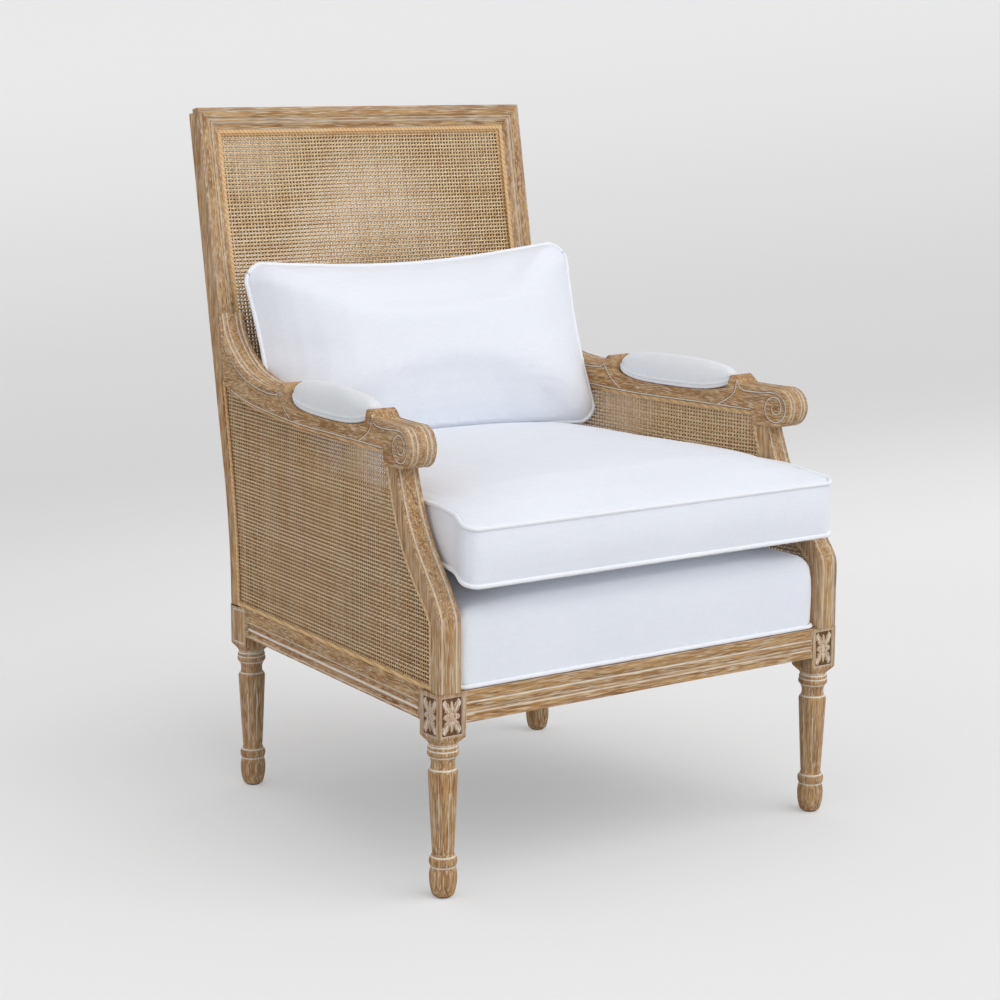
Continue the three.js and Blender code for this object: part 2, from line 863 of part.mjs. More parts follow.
// A slab of the back between two widths, heights and depths, following the back's line
function backSlab(halfWidth, low, high, from, to, steps = 1) {
  const section = [
    [-1, 0],
    [1, 0],
    [1, 1],
    [-1, 1],
  ].map(([x, y]) => new THREE.Vector2(x, y));
  const rings = stations(low, high, steps).map((height) =>
    section.map(({ x, y }) => backPoint(x * halfWidth, height, y === 0 ? from : to(height))),
  );
  return skin(section, rings);
}

const backInner = backOuter - stileWidth;
const backOpeningLow = faceFrameFoot + lowerRailHeight;
const backOpeningHigh = crestCentre - stileWidth * Math.cos(backRake);
const faceCaneDepth = faceSlope + splineThickness + seatGap;
const backSteps = 9;

function crestRail() {
  const top = crestCentre - rearTopDrop;
  return backSlab(
    backInner - seatGap,
    top - crestHeight + rearTopDrop,
    top,
    faceDepth + seatGap,
    stileDepth,
  );
}

function backLowerRail() {
  return backSlab(
    backInner - seatGap,
    faceFrameFoot,
    backOpeningLow,
    faceDepth + seatGap,
    stileDepth,
  );
}

function faceLowerRail() {
  return backSlab(
    backInner - seatGap,
    faceFrameFoot,
    backOpeningLow,
    faceSlope / 2,
    () => faceDepth,
  );
}

function backPanel(from, thickness, margin) {
  return backSlab(
    backInner - margin,
    backOpeningLow + margin,
    backOpeningHigh - margin,
    from,
    () => from + thickness,
    backSteps,
  );
}

function backSpline(from, thickness) {
  const ring = backPanel(from, thickness, seatGap);
  const hole = backSlab(
    backInner - seatGap - splineWidth,
    backOpeningLow + seatGap + splineWidth,
    backOpeningHigh - seatGap - splineWidth,
    from - cutOver / 2,
    () => from + thickness + cutOver / 2,
    backSteps,
  );
  return cut(ring, hole);
}

function rearCaneFrom() {
  return stileTopDepth - splineSetback - splineThickness - seatGap - caneThickness;
}

// Seat rails: the front one has three bands, parted by two sunk lines
const railQuirk = 1.6;
const railLineShares = [0.36, 0.74];

function railFace(thickness) {
  const bottom = railTop - railHeight;
  const [upperLine, lowerLine] = railLineShares.map((share) => railTop - railHeight * share);
  return [
    [0, railTop],
    [0, upperLine],
    [railQuirk, upperLine - railQuirk],
    [railQuirk, upperLine - 2 * railQuirk],
    [railQuirk / 4, upperLine - 3 * railQuirk],
    [railQuirk / 4, lowerLine + railQuirk],
    [railQuirk, lowerLine],
    [0, lowerLine - railQuirk],
    [0, bottom],
    [thickness, bottom],
    [thickness, railTop],
  ].map(([depth, height]) => new THREE.Vector2(depth, height));
}

function frontRail() {
  const section = railFace(railThickness);
  const reach = frontWidth / 2 - blockSize - seatGap;
  return skin(
    section,
    [-reach, reach].map((x) => section.map((p) => new THREE.Vector3(x, p.x + railSetback, p.y))),
  );
}

function rearRail() {
  const reach = backWidth / 2 - blockSize - seatGap;
  const face = frameDepth - rearRailSetback;
  return boxBetween(
    [-reach, face - railThickness, railTop - railHeight],
    [reach, face, railTop],
  );
}

// Left side rail with two stopped flutes along its outer face and a tongue for the cane
const railFluteRadius = 3.4;
const railFluteShares = [0.55, 0.82];

function sideRail() {
  const from = blockSize + seatGap;
  const to = frameDepth - blockSize - seatGap;
  const top = openingBottom + caneTongue;
  const outer = railSetback;
  const body = sideExtrude(
    [
      new THREE.Vector2(0, railTop - railHeight),
      new THREE.Vector2(frameDepth / sideCos, railTop - railHeight),
      new THREE.Vector2(frameDepth / sideCos, top),
      new THREE.Vector2(0, top),
    ],
    outer,
    outer + sideRailThickness,
  );
  const span = boxBetween([-frontWidth, from, 0], [0, to, chairHeight]);
  const flutes = railFluteShares.map((share) => {
    const height = railTop - railHeight * share;
    const stop = railFluteRadius * 4;
    const flute = new THREE.CylinderGeometry(railFluteRadius, railFluteRadius, 1, 8);
    flute.scale(1, (to - from) / sideCos - 2 * stop, 1);
    flute.translate(outer - railFluteRadius / 4, (from + to) / 2 / sideCos, height);
    return flute;
  });
  const rail = cut(kept(body, offSide(span)), ...flutes, ...caneCutters());
  const support = boxBetween(
    [-cutOver, -cutOver, railTop],
    [frontWidth, supportDepth + caneTongue + blockSize, chairHeight],
  );
  return cut(rail, support);
}

// Glued corner blocks behind the legs, inside the seat frame
const braceReach = 82;
const braceHeight = 30;

function cornerBrace(rear) {
  const face = rear
    ? frameDepth - rearRailSetback - railThickness - seatGap
    : railSetback + railThickness + seatGap;
  const toward = rear ? -1 : 1;
  const braceEdge = (depth) => halfWidth(depth, railSetback + sideRailThickness + seatGap);
  const corner = -braceEdge(face);
  const shape = new THREE.Shape([
    new THREE.Vector2(corner, face),
    new THREE.Vector2(corner + braceReach, face),
    new THREE.Vector2(-braceEdge(face + toward * braceReach), face + toward * braceReach),
  ]);
  const plate = new THREE.ExtrudeGeometry(shape, { depth: braceHeight, bevelEnabled: false });
  plate.translate(0, 0, railTop - braceHeight - seatGap * 2);
  const half = rear ? backWidth / 2 : frontWidth / 2;
  const blockFrom = rear ? frameDepth - blockSize : 0;
  const post = boxBetween(
    [-half - cutOver, blockFrom - seatGap, 0],
    [-half + blockSize + seatGap, blockFrom + blockSize + seatGap, railTop + cutOver],
  );
  return cut(weld(plate), post);
}

// Half width of the chair at a depth, measured to a plane set inward from its side face
function halfWidth(depth, inward) {
  return frontWidth / 2 - inward / sideCos - depth * Math.tan(sideTaper);
}

function innerHalf(depth, clearance) {
  return halfWidth(depth, supportWidth + clearance);
}

// Trapezoid outline with rounded corners: points and outward normals, anticlockwise
function seatOutline(front, rear, clearance, radius, sideSteps) {
  const corners = [
    [-innerHalf(front, clearance), front],
    [innerHalf(front, clearance), front],
    [innerHalf(rear, clearance), rear],
    [-innerHalf(rear, clearance), rear],
  ].map(([x, y]) => new THREE.Vector2(x, y));
  const points = [];
  corners.forEach((corner, i) => {
    const before = corners[(i + 3) % 4];
    const after = corners[(i + 1) % 4];
    const a = corner.clone().sub(before).normalize();
    const b = after.clone().sub(corner).normalize();
    const normalA = new THREE.Vector2(a.y, -a.x);
    const normalB = new THREE.Vector2(b.y, -b.x);
    const bisector = normalA.clone().add(normalB).normalize();
    const centre = corner.clone().addScaledVector(bisector, -radius / bisector.dot(normalA));
    for (const share of [0, 0.33, 0.67, 1]) {
      const normal = normalA.clone().lerp(normalB, share).normalize();
      points.push({ at: centre.clone().addScaledVector(normal, radius), normal });
    }
    const start = centre.clone().addScaledVector(normalB, radius);
    const stop = after.clone().addScaledVector(b, -radius);
    for (let step = 1; step < sideSteps; step++) {
      points.push({ at: start.clone().lerp(stop, step / sideSteps), normal: normalB.clone() });
    }
  });
  return points;
}

function outlineRing(outline, share, outset, height) {
  const centre = new THREE.Vector2();
  for (const { at } of outline) centre.addScaledVector(at, 1 / outline.length);
  return outline.map(({ at, normal }) => {
    const edge = at.clone().addScaledVector(normal, outset).sub(centre).multiplyScalar(share);
    const place = edge.add(centre);
    return new THREE.Vector3(place.x, place.y, height(place.x, place.y));
  });
}

// Crown of a seat shape: 1 in the middle of the seat, 0 at its edges
function crown(x, y, front, rear, clearance) {
  const across = Math.min(Math.abs(x) / innerHalf(y, clearance), 1);
  const along = Math.min(Math.abs((2 * y - front - rear) / (rear - front)), 1);
  return (1 - across ** 3) * (1 - along ** 3);
}

// Upholstered deck: a sprung and padded box on the rails, welted round its foot
const deckBottom = railTop + webThickness + 2 * seatGap;
const deckClearance = 0.8;
const deckEdge = 26;

function deckTop(x, y) {
  const edge = deckBottom + deckHeight;
  return edge + deckCrown * crown(x, y, deckFront, deckRear, deckClearance);
}

function seatDeck() {
  const outline = seatOutline(deckFront, deckRear, deckClearance + weltRadius / 2, deckEdge / 2, 9);
  const flat = (height) => () => height;
  const edge = deckBottom + deckHeight - deckEdge;
  const rings = [
    outlineRing(outline, 0.9, 0, flat(deckBottom)),
    outlineRing(outline, 1, 0, flat(deckBottom)),
    outlineRing(outline, 1, weltRadius / 2, flat(deckBottom + weltRadius)),
    outlineRing(outline, 1, -weltRadius / 2, flat(deckBottom + 2 * weltRadius)),
    outlineRing(outline, 1, 0, flat((deckBottom + edge) / 2)),
    outlineRing(outline, 1, -weltRadius / 2, flat(edge)),
    outlineRing(outline, 1, -deckEdge * 0.3, flat(edge + deckEdge * 0.7)),
    outlineRing(outline, 1, -deckEdge, deckTop),
    ...[0.78, 0.55, 0.3].map((share) => outlineRing(outline, share, 0, deckTop)),
  ];
  const middle = new THREE.Vector3(0, (deckFront + deckRear) / 2, deckBottom);
  const top = middle.clone().setZ(deckTop(middle.x, middle.y));
  return padded(rings, middle, top);
}

// Loose box cushion: welted edges, drawn-in sides, crowned faces, front edge drooping
const cushionGap = 1.6;
const cushionClearance = armThickness - armProud - supportWidth + cushionGap + weltRadius;
const cushionCorner = 16;
const cushionDraw = 3;

function droop(y) {
  const reach = THREE.MathUtils.clamp((blockSize * 2 - y) / (blockSize * 2 - cushionFront), 0, 1);
  return cushionDroop * reach * reach;
}

function cushionLow(x, y) {
  const sag = cushionCrown * crown(x, y, cushionFront, cushionRear, cushionClearance);
  return Math.max(cushionBottom - droop(y) - sag, deckTop(x, y) + seatGap * 3);
}

function cushionHigh(x, y) {
  const swell = cushionCrown * crown(x, y, cushionFront, cushionRear, cushionClearance);
  return cushionBottom + cushionWall - droop(y) + swell;
}

function seatCushion() {
  const outline = seatOutline(cushionFront, cushionRear, cushionClearance, cushionCorner, 9);
  const edgeLow = (x, y) => cushionBottom - droop(y);
  const edgeHigh = (x, y) => edgeLow(x, y) + cushionWall;
  const wall = (share) => (x, y) => THREE.MathUtils.lerp(edgeLow(x, y), edgeHigh(x, y), share);
  const lift = (surface, by) => (x, y) => surface(x, y) + by;
  const rings = [
    ...[0.3, 0.6, 0.85].map((share) => outlineRing(outline, share, 0, cushionLow)),
    outlineRing(outline, 1, -weltRadius * 2, lift(cushionLow, weltRadius / 2)),
    outlineRing(outline, 1, -weltRadius / 2, lift(edgeLow, -weltRadius / 3)),
    outlineRing(outline, 1, weltRadius, lift(edgeLow, weltRadius * 0.7)),
    outlineRing(outline, 1, -weltRadius / 2, lift(edgeLow, weltRadius * 1.8)),
    outlineRing(outline, 1, -cushionDraw, wall(0.5)),
    outlineRing(outline, 1, -weltRadius / 2, lift(edgeHigh, -weltRadius * 1.8)),
    outlineRing(outline, 1, weltRadius, lift(edgeHigh, -weltRadius * 0.7)),
    outlineRing(outline, 1, -weltRadius / 2, lift(edgeHigh, weltRadius / 3)),
    outlineRing(outline, 1, -weltRadius * 2, cushionHigh),
    ...[0.94, 0.85, 0.68, 0.45, 0.2].map((share) => outlineRing(outline, share, 0, cushionHigh)),
  ];
  const middle = (cushionFront + cushionRear) / 2;
  const bottom = new THREE.Vector3(0, middle, cushionLow(0, middle));
  const top = new THREE.Vector3(0, middle, cushionHigh(0, middle));
  return padded(rings, bottom, top);
}

// Kidney pillow: two crowned faces meeting at a welted seam, leaning on the back
const pillowTurn = THREE.MathUtils.degToRad(8.7);
const pillowLean = THREE.MathUtils.degToRad(20);
const pillowAcross = 5;
const pillowSetback = 85;
const pillowDepth = frameDepth - pillowSetback;
const pillowCorner = 26;
const pillowDip = 16;
const pillowDraw = 7;

function pillowOutline() {
  const [a, b] = [pillowWidth / 2, pillowHeight / 2];
  const shape = new THREE.Shape();
  const steps = { wide: 11, tall: 6 };
  const corners = [
    [-a, -b, steps.wide],
    [a, -b, steps.tall],
    [a, b, steps.wide],
    [-a, b, steps.tall],
  ];
  corners.forEach(([x, y], i) => {
    const [nextX, nextY] = corners[(i + 1) % 4];
    const from = new THREE.Vector2(x, y);
    const to = new THREE.Vector2(nextX, nextY);
    const along = to.clone().sub(from).normalize();
    const start = from.clone().addScaledVector(along, pillowCorner);
    const stop = to.clone().addScaledVector(along, -pillowCorner);
    if (i === 0) shape.moveTo(start.x, start.y);
    for (let step = 1; step <= corners[i][2]; step++) {
      const point = start.clone().lerp(stop, step / corners[i][2]);
      const bow = Math.sin((Math.PI * step) / corners[i][2]);
      const draw = i === 2 ? pillowDip : pillowDraw;
      point.x += along.y * -draw * bow * (i % 2);
      point.y += along.x * draw * bow * (1 - (i % 2));
      shape.lineTo(point.x, point.y);
    }
    const pull = pillowCorner * 0.35;
    const beyond = to.clone().addScaledVector(along, -pull);
    const turn = new THREE.Vector2(-along.y, along.x);
    beyond.addScaledVector(turn, pull);
    shape.lineTo(beyond.x, beyond.y);
    const arrive = to.clone().addScaledVector(turn, pillowCorner);
    if (i < 3) shape.lineTo(arrive.x, arrive.y);
  });
  return shape.getPoints(1);
}

function lumbarPillow() {
  const outline = pillowOutline();
  const place = new THREE.Matrix4()
    .makeRotationZ(-pillowTurn)
    .multiply(new THREE.Matrix4().makeRotationX(-pillowLean));
  const seat = cushionHigh(pillowAcross, pillowDepth - pillowHeight * 0.17);
  const centre = new THREE.Vector3(
    pillowAcross,
    pillowDepth,
    seat + (pillowHeight / 2 - pillowDraw) * Math.cos(pillowLean),
  );
  const settle = (point) => {
    const world = point.applyMatrix4(place).add(centre);
    const floor = cushionHigh(world.x, world.y) + seatGap * 2;
    world.z = Math.max(world.z, floor);
    const wall = backPoint(0, world.z, 0).y - seatGap * 4;
    world.y = Math.min(world.y, wall);
    const side = halfWidth(world.y, armThickness - armProud) - seatGap * 4;
    world.x = THREE.MathUtils.clamp(world.x, -side, side);
    return world;
  };
  const ring = (share, outset, bulge) =>
    outline.map((point) => {
      const reach = point.length();
      const at = point.clone().multiplyScalar(share * (1 + outset / reach));
      return settle(new THREE.Vector3(at.x, bulge * (pillowThickness / 2), at.y));
    });
  const half = (side) =>
    [
      [0.97, -weltRadius, 0.07],
      [0.9, 0, 0.34],
      [0.78, 0, 0.62],
      [0.6, 0, 0.84],
      [0.38, 0, 0.96],
      [0.16, 0, 0.995],
    ].map(([share, outset, bulge]) => ring(share, outset, side * bulge));
  const rings = [...half(-1).reverse(), ring(1, weltRadius, 0), ...half(1)];
  const middle = (side) => settle(new THREE.Vector3(0, (side * pillowThickness) / 2, 0));
  return padded(rings, middle(-1), middle(1));
}

// Jute belts woven under the deck, as one lattice lying on the rails
function seatWebbing() {
  const low = railTop + seatGap;
  const front = railThickness * 0.5;
  const rear = frameDepth - blockSize - railThickness * 0.1;
  const half = halfWidth(rear, sideRailThickness + blockSize);
  const deep = stations(-half + webWidth / 2, half - webWidth / 2, 4).map((x) =>
    boxBetween([x - webWidth / 2, front, low], [x + webWidth / 2, rear, low + webThickness]),
  );
  const wide = stations(front + blockSize + webWidth, rear - blockSize - webWidth, 3).map((y) => {
    const reach = halfWidth(y + webWidth / 2, railSetback + sideRailThickness + seatGap);
    return boxBetween(
      [-reach, y - webWidth / 2, low],
      [reach, y + webWidth / 2, low + webThickness],
    );
  });
  return joined(...deep, ...wide);
}

// Thin cloth closing the frame from below, clear of the four blocks
const coverMargin = 7;
const coverThickness = 1;

function dustCover() {
  const top = railTop - railHeight - seatGap;
  const edge = (y) => halfWidth(y, coverMargin);
  const [front, rear] = [coverMargin, frameDepth - coverMargin * 1.5];
  const shape = new THREE.Shape([
    new THREE.Vector2(-edge(front), front),
    new THREE.Vector2(edge(front), front),
    new THREE.Vector2(edge(rear), rear),
    new THREE.Vector2(-edge(rear), rear),
  ]);
  const sheet = new THREE.ExtrudeGeometry(shape, { depth: coverThickness, bevelEnabled: false });
  sheet.translate(0, 0, top - coverThickness);
  const blocks = [];
  for (const side of [-1, 1]) {
    for (const [half, from] of [
      [frontWidth / 2, 0],
      [backWidth / 2, frameDepth - blockSize],
    ]) {
      const x = side * (half - blockSize / 2);
      const reach = blockSize / 2 + seatGap * 2;
      const middle = from + blockSize / 2;
      const far = reach + cutOver;
      blocks.push(
        boxBetween(
          [side < 0 ? x - far : x - reach, from ? middle - reach : middle - far, 0],
          [side < 0 ? x + reach : x + far, from ? middle + far : middle + reach, railTop],
        ),
      );
    }
  }
  return cut(weld(sheet), ...blocks);
}

// Round felt glide under a foot
function footGlide() {
  const profile = [
    new THREE.Vector2(0, 0),
    new THREE.Vector2(glideRadius - glideEdge, 0),
    new THREE.Vector2(glideRadius, glideEdge),
    new THREE.Vector2(glideRadius, glideHeight - seatGap),
    new THREE.Vector2(0, glideHeight - seatGap),
  ];
  const glide = new THREE.LatheGeometry(profile, 16);
  glide.rotateX(Math.PI / 2);
  return weld(glide);
}

// Assembly
const chair = new THREE.Group();

function place(parent, name, geometry, material) {
  const mesh = new THREE.Mesh(geometry, material);
  mesh.name = name;
  parent.add(mesh);
  return mesh;
}

function pair(name, geometry, material) {
  place(chair, `${name}_left`, geometry, material);
  place(chair, `${name}_right`, mirrored(geometry), material);
}

// Each side frame is built upright and turned to the taper of the seat
function sidePair(name, geometry, material) {
  for (const side of [-1, 1]) {
    const frame = new THREE.Group();
    frame.position.x = (side * frontWidth) / 2;
    frame.rotation.z = side * sideTaper;
    chair.add(frame);
    const label = `${name}_${side < 0 ? 'left' : 'right'}`;
    place(frame, label, side < 0 ? geometry : mirrored(geometry), material);
  }
}

pair('front_leg', frontLeg(), limedOak);
pair('back_post', backPost(), limedOak);
pair('back_face_stile', faceStile(), limedOak);
place(chair, 'back_face_crest', faceCrest(), limedOak);
place(chair, 'back_face_lower_rail', faceLowerRail(), limedOak);
place(chair, 'crest_rail', crestRail(), limedOak);
place(chair, 'back_lower_rail', backLowerRail(), limedOak);
place(chair, 'front_seat_rail', frontRail(), limedOak);
place(chair, 'rear_seat_rail', rearRail(), limedOak);
sidePair('side_seat_rail', sideRail(), limedOak);
sidePair('arm_support', armSupport(), limedOak);
sidePair('armrest', armrest(), limedOak);
sidePair('arm_pad', armPad(), linen);
sidePair('side_cane_outer', sideCane(false), cane);
sidePair('side_cane_inner', sideCane(true), cane);
sidePair('side_spline_outer', sideSpline(false), cane);
sidePair('side_spline_inner', sideSpline(true), cane);
place(chair, 'back_cane_front', backPanel(faceCaneDepth, caneThickness, seatGap), cane);
place(chair, 'back_cane_rear', backPanel(rearCaneFrom(), caneThickness, seatGap), cane);
place(chair, 'back_spline_front', backSpline(faceSlope, splineThickness), cane);
place(
  chair,
  'back_spline_rear',
  backSpline(rearCaneFrom() + caneThickness + seatGap, splineThickness),
  cane,
);
place(chair, 'seat_webbing', seatWebbing(), webbing);
place(chair, 'seat_deck', seatDeck(), linen);
place(chair, 'dust_cover', dustCover(), cambric);
pair('corner_block_front', cornerBrace(false), hiddenBeech);
pair('corner_block_rear', cornerBrace(true), hiddenBeech);
place(chair, 'seat_cushion', seatCushion(), linen);
place(chair, 'lumbar_pillow', lumbarPillow(), linen);

for (const side of [-1, 1]) {
  const hand = side < 0 ? 'left' : 'right';
  for (const [end, half, depth] of [
    ['front', frontWidth / 2, blockSize / 2],
    ['rear', backWidth / 2, blockCentreDepth],
  ]) {
    const glide = place(chair, `foot_glide_${end}_${hand}`, footGlide(), felt);
    glide.position.set(side * (half - blockSize / 2), depth, 0);
  }
}

// The origin goes on the floor under the middle of the whole chair
chair.updateMatrixWorld(true);
const reach = new THREE.Box3().setFromObject(chair, true);
chair.position.y = -(reach.min.y + reach.max.y) / 2;

export default chair;
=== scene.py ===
# %% [markdown]
# ## The frame of the bergere
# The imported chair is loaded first. It fixes every place and size, and the pieces made below only dress it.
# All lengths below are in millimetres, with depths measured back from the front face of the front blocks,
# because that is how a chair maker sets out such a frame. One function turns them into the row's metres.

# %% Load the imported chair
import json
import math
from functools import partial

import bmesh
import bpy
import numpy as np
from mathutils import Matrix, Vector

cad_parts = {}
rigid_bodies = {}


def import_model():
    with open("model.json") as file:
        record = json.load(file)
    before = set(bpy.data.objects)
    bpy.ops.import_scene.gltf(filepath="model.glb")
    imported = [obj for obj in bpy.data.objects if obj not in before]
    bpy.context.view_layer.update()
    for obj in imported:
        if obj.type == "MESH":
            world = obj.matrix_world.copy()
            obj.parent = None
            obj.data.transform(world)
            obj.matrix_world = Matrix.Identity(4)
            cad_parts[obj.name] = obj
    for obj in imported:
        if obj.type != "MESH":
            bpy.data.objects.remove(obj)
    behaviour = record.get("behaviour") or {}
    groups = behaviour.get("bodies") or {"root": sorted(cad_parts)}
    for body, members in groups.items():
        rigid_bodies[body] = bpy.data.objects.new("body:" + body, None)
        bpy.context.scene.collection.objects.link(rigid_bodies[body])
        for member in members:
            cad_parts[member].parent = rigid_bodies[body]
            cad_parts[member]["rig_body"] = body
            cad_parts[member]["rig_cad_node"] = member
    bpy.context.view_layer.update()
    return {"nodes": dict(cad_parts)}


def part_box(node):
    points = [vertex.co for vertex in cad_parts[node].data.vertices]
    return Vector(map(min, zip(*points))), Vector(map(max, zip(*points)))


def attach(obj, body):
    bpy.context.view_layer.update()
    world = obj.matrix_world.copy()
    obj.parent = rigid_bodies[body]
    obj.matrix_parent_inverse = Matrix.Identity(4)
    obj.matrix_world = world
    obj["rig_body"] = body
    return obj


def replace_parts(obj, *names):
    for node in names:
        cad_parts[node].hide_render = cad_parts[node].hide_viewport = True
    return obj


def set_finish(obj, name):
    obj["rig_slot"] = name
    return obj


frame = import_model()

front_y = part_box("front_leg_left")[0].y


def to_row(points):
    """Points in millimetres from the floor and the blocks' front face, as metres in the row's frame."""
    placed = np.asarray(points, float) * 0.001
    placed[..., 1] += front_y
    return placed


def put(name, data):
    """A new object in the scene."""
    made = bpy.data.objects.new(name, data)
    bpy.context.scene.collection.objects.link(made)
    return made


print(len(frame["nodes"]), "nodes, front face at y =", round(front_y, 4))

# %% [markdown]
# ## The camera
# The photograph was taken a little above the arms, from the chair's left front corner, with a long lens.
# The place, the turn and the lens come from the straight edges of the frame in the photograph, so a piece
# that is right in the CAD model also falls on its own outline in the render.

# %% Camera at the photograph's place
camera_turn, camera_dip, camera_roll = 0.628, 0.177, 0.003
camera_place = (-2.1062, front_y - 2.5513, 1.0926)
camera = put("camera", bpy.data.cameras.new("camera"))
camera.data.sensor_width, camera.data.lens, camera.data.clip_end = 36, 88.84, 60
bpy.context.scene.camera = camera

flat = math.cos(camera_dip)
ahead = Vector((math.sin(camera_turn) * flat, math.cos(camera_turn) * flat, -math.sin(camera_dip)))
level = Vector((math.cos(camera_turn), -math.sin(camera_turn), 0))
upward = level.cross(ahead)
sideways = level * math.cos(camera_roll) + upward * math.sin(camera_roll)
upright = upward * math.cos(camera_roll) - level * math.sin(camera_roll)
turn = Matrix((sideways, upright, -ahead)).transposed().to_4x4()
camera.matrix_world = Matrix.Translation(camera_place) @ turn
print("camera at", [round(v, 3) for v in camera.location])

# %% [markdown]
# ## Colours and nodes
# Colours are read off as the usual sRGB hex values, but Cycles works in linear light, so one function
# turns them. A second one adds a node with its settings and links in one line and gives back one of its
# outputs, which keeps each material short enough to read from top to bottom.


# %% Colour and node helpers
def linear(hex_colour):
    parts = [int(hex_colour[i : i + 2], 16) / 255 for i in (1, 3, 5)]
    curve = [c / 12.92 if c <= 0.04045 else ((c + 0.055) / 1.055) ** 2.4 for c in parts]
    return (*curve, 1.0)


def add_node(tree, kind, inputs, output=0, **settings):
    made = tree.nodes.new("ShaderNode" + kind)
    for name, value in settings.items():
        setattr(made, name, value)
    for name, value in inputs.items():
        if isinstance(value, bpy.types.NodeSocket):
            tree.links.new(value, made.inputs[name])
        else:
            made.inputs[name].default_value = linear(value) if isinstance(value, str) else value
    return made.outputs[output] if made.outputs else None


def emptied(holder):
    """Clears a material's or a world's tree and gives the function that adds nodes to it."""
    holder.use_nodes = True
    holder.node_tree.nodes.clear()
    return partial(add_node, holder.node_tree)


print("brown oak in linear light:", [round(c, 3) for c in linear("#B08A5E")])

# %% [markdown]
# ## Limed oak
# The frame is oak that was wire brushed, stained a warm brown and rubbed with white liming wax. The wax
# stays in the open pores and in every groove of the carving, and is wiped off the raised wood. So the
# material has three layers: a brown ground with long grain, pale flecks that run with the grain, and a
# creamy white that a mesh attribute puts into the grooves. Where the attribute goes below zero, in the
# carver's hollows, it paints a dark brown instead, as painted shade. Oak's dry wax gives a broad, weak shine.
# Real pores are 0.3 mm wide. They are drawn 1.4 mm wide here, as fine as the render can show.

# %% Limed oak, with the grain along one axis
grain_streak, grain_line, pore_width = 6.0, 1.5, 1.4
bend_size, bend_amount, longest_line = 1000 / 6, 0.007, 0.05


def limed_oak(name, stretch):
    material = bpy.data.materials.new(name)
    node = emptied(material)
    place = node("TexCoord", {}, "Object")
    bend = node("TexNoise", {"Vector": place, "Scale": 1000 / bend_size, "Detail": 1.0}, "Color")
    bent = node("Mix", {0: bend_amount, 4: place, 5: bend}, 1, data_type="VECTOR")
    along = node("Mapping", {"Vector": bent, "Scale": stretch})
    short = node("Mapping", {"Vector": bent, "Scale": [max(share, longest_line) for share in stretch]})
    sizes = (along, grain_streak, 3, 0.6), (short, grain_line, 2, 0.6), (short, pore_width, 1, 0.5)
    streak, line, pore = (
        node("TexNoise", {"Vector": at, "Scale": 1000 / size, "Detail": detail, "Roughness": rough})
        for at, size, detail, rough in sizes
    )
    cloud = node("TexNoise", {"Vector": place, "Scale": 14.0, "Detail": 3.0})
    groove = node("Attribute", {}, "Fac", attribute_name="liming")
    broken = node("MapRange", {0: pore, 1: 0.3, 2: 0.5, 3: 0.6, 4: 1.0})
    share = node("MapRange", {0: streak, 1: 0.36, 2: 0.64}, interpolation_type="SMOOTHSTEP")
    colour = node("Mix", {0: share, 6: "#9A6B39", 7: "#C49B67"}, 2, data_type="RGBA")
    for share, over in (
        (node("MapRange", {0: line, 1: 0.48, 2: 0.64, 4: 0.68}), "#6B4A28"),
        (node("MapRange", {0: pore, 1: 0.52, 2: 0.66, 4: 0.7}), "#DCCBB0"),
        (node("MapRange", {0: cloud, 1: 0.4, 2: 0.7, 3: 0.02, 4: 0.2}), "#C2AE92"),
        (node("Math", {0: groove, 1: broken}, operation="MULTIPLY", use_clamp=True), "#F1EADC"),
        # below zero the attribute paints dark brown into the hollows: painted shade
        (node("Math", {0: groove, 1: -0.85}, operation="MULTIPLY", use_clamp=True), "#57391E"),
    ):
        colour = node("Mix", {0: share, 6: colour, 7: over}, 2, data_type="RGBA")
    rough = node("MapRange", {0: line, 1: 0.3, 2: 0.7, 3: 0.62, 4: 0.85})
    relief = node("Bump", {"Strength": 0.4, "Distance": 0.0007, "Height": line}, invert=True)
    shine = {"Roughness": rough, "Normal": relief, "Specular IOR Level": 0.3}
    node("OutputMaterial", {"Surface": node("BsdfPrincipled", {"Base Color": colour, **shine})})
    return material


oak_upright = limed_oak("limed_oak_grain_up", (1, 1, 0.045))
oak_across = limed_oak("limed_oak_grain_across", (0.045, 1, 1))
oak_deep = limed_oak("limed_oak_grain_back", (1, 0.045, 1))
print("oak materials:", oak_upright.name, oak_across.name, oak_deep.name)
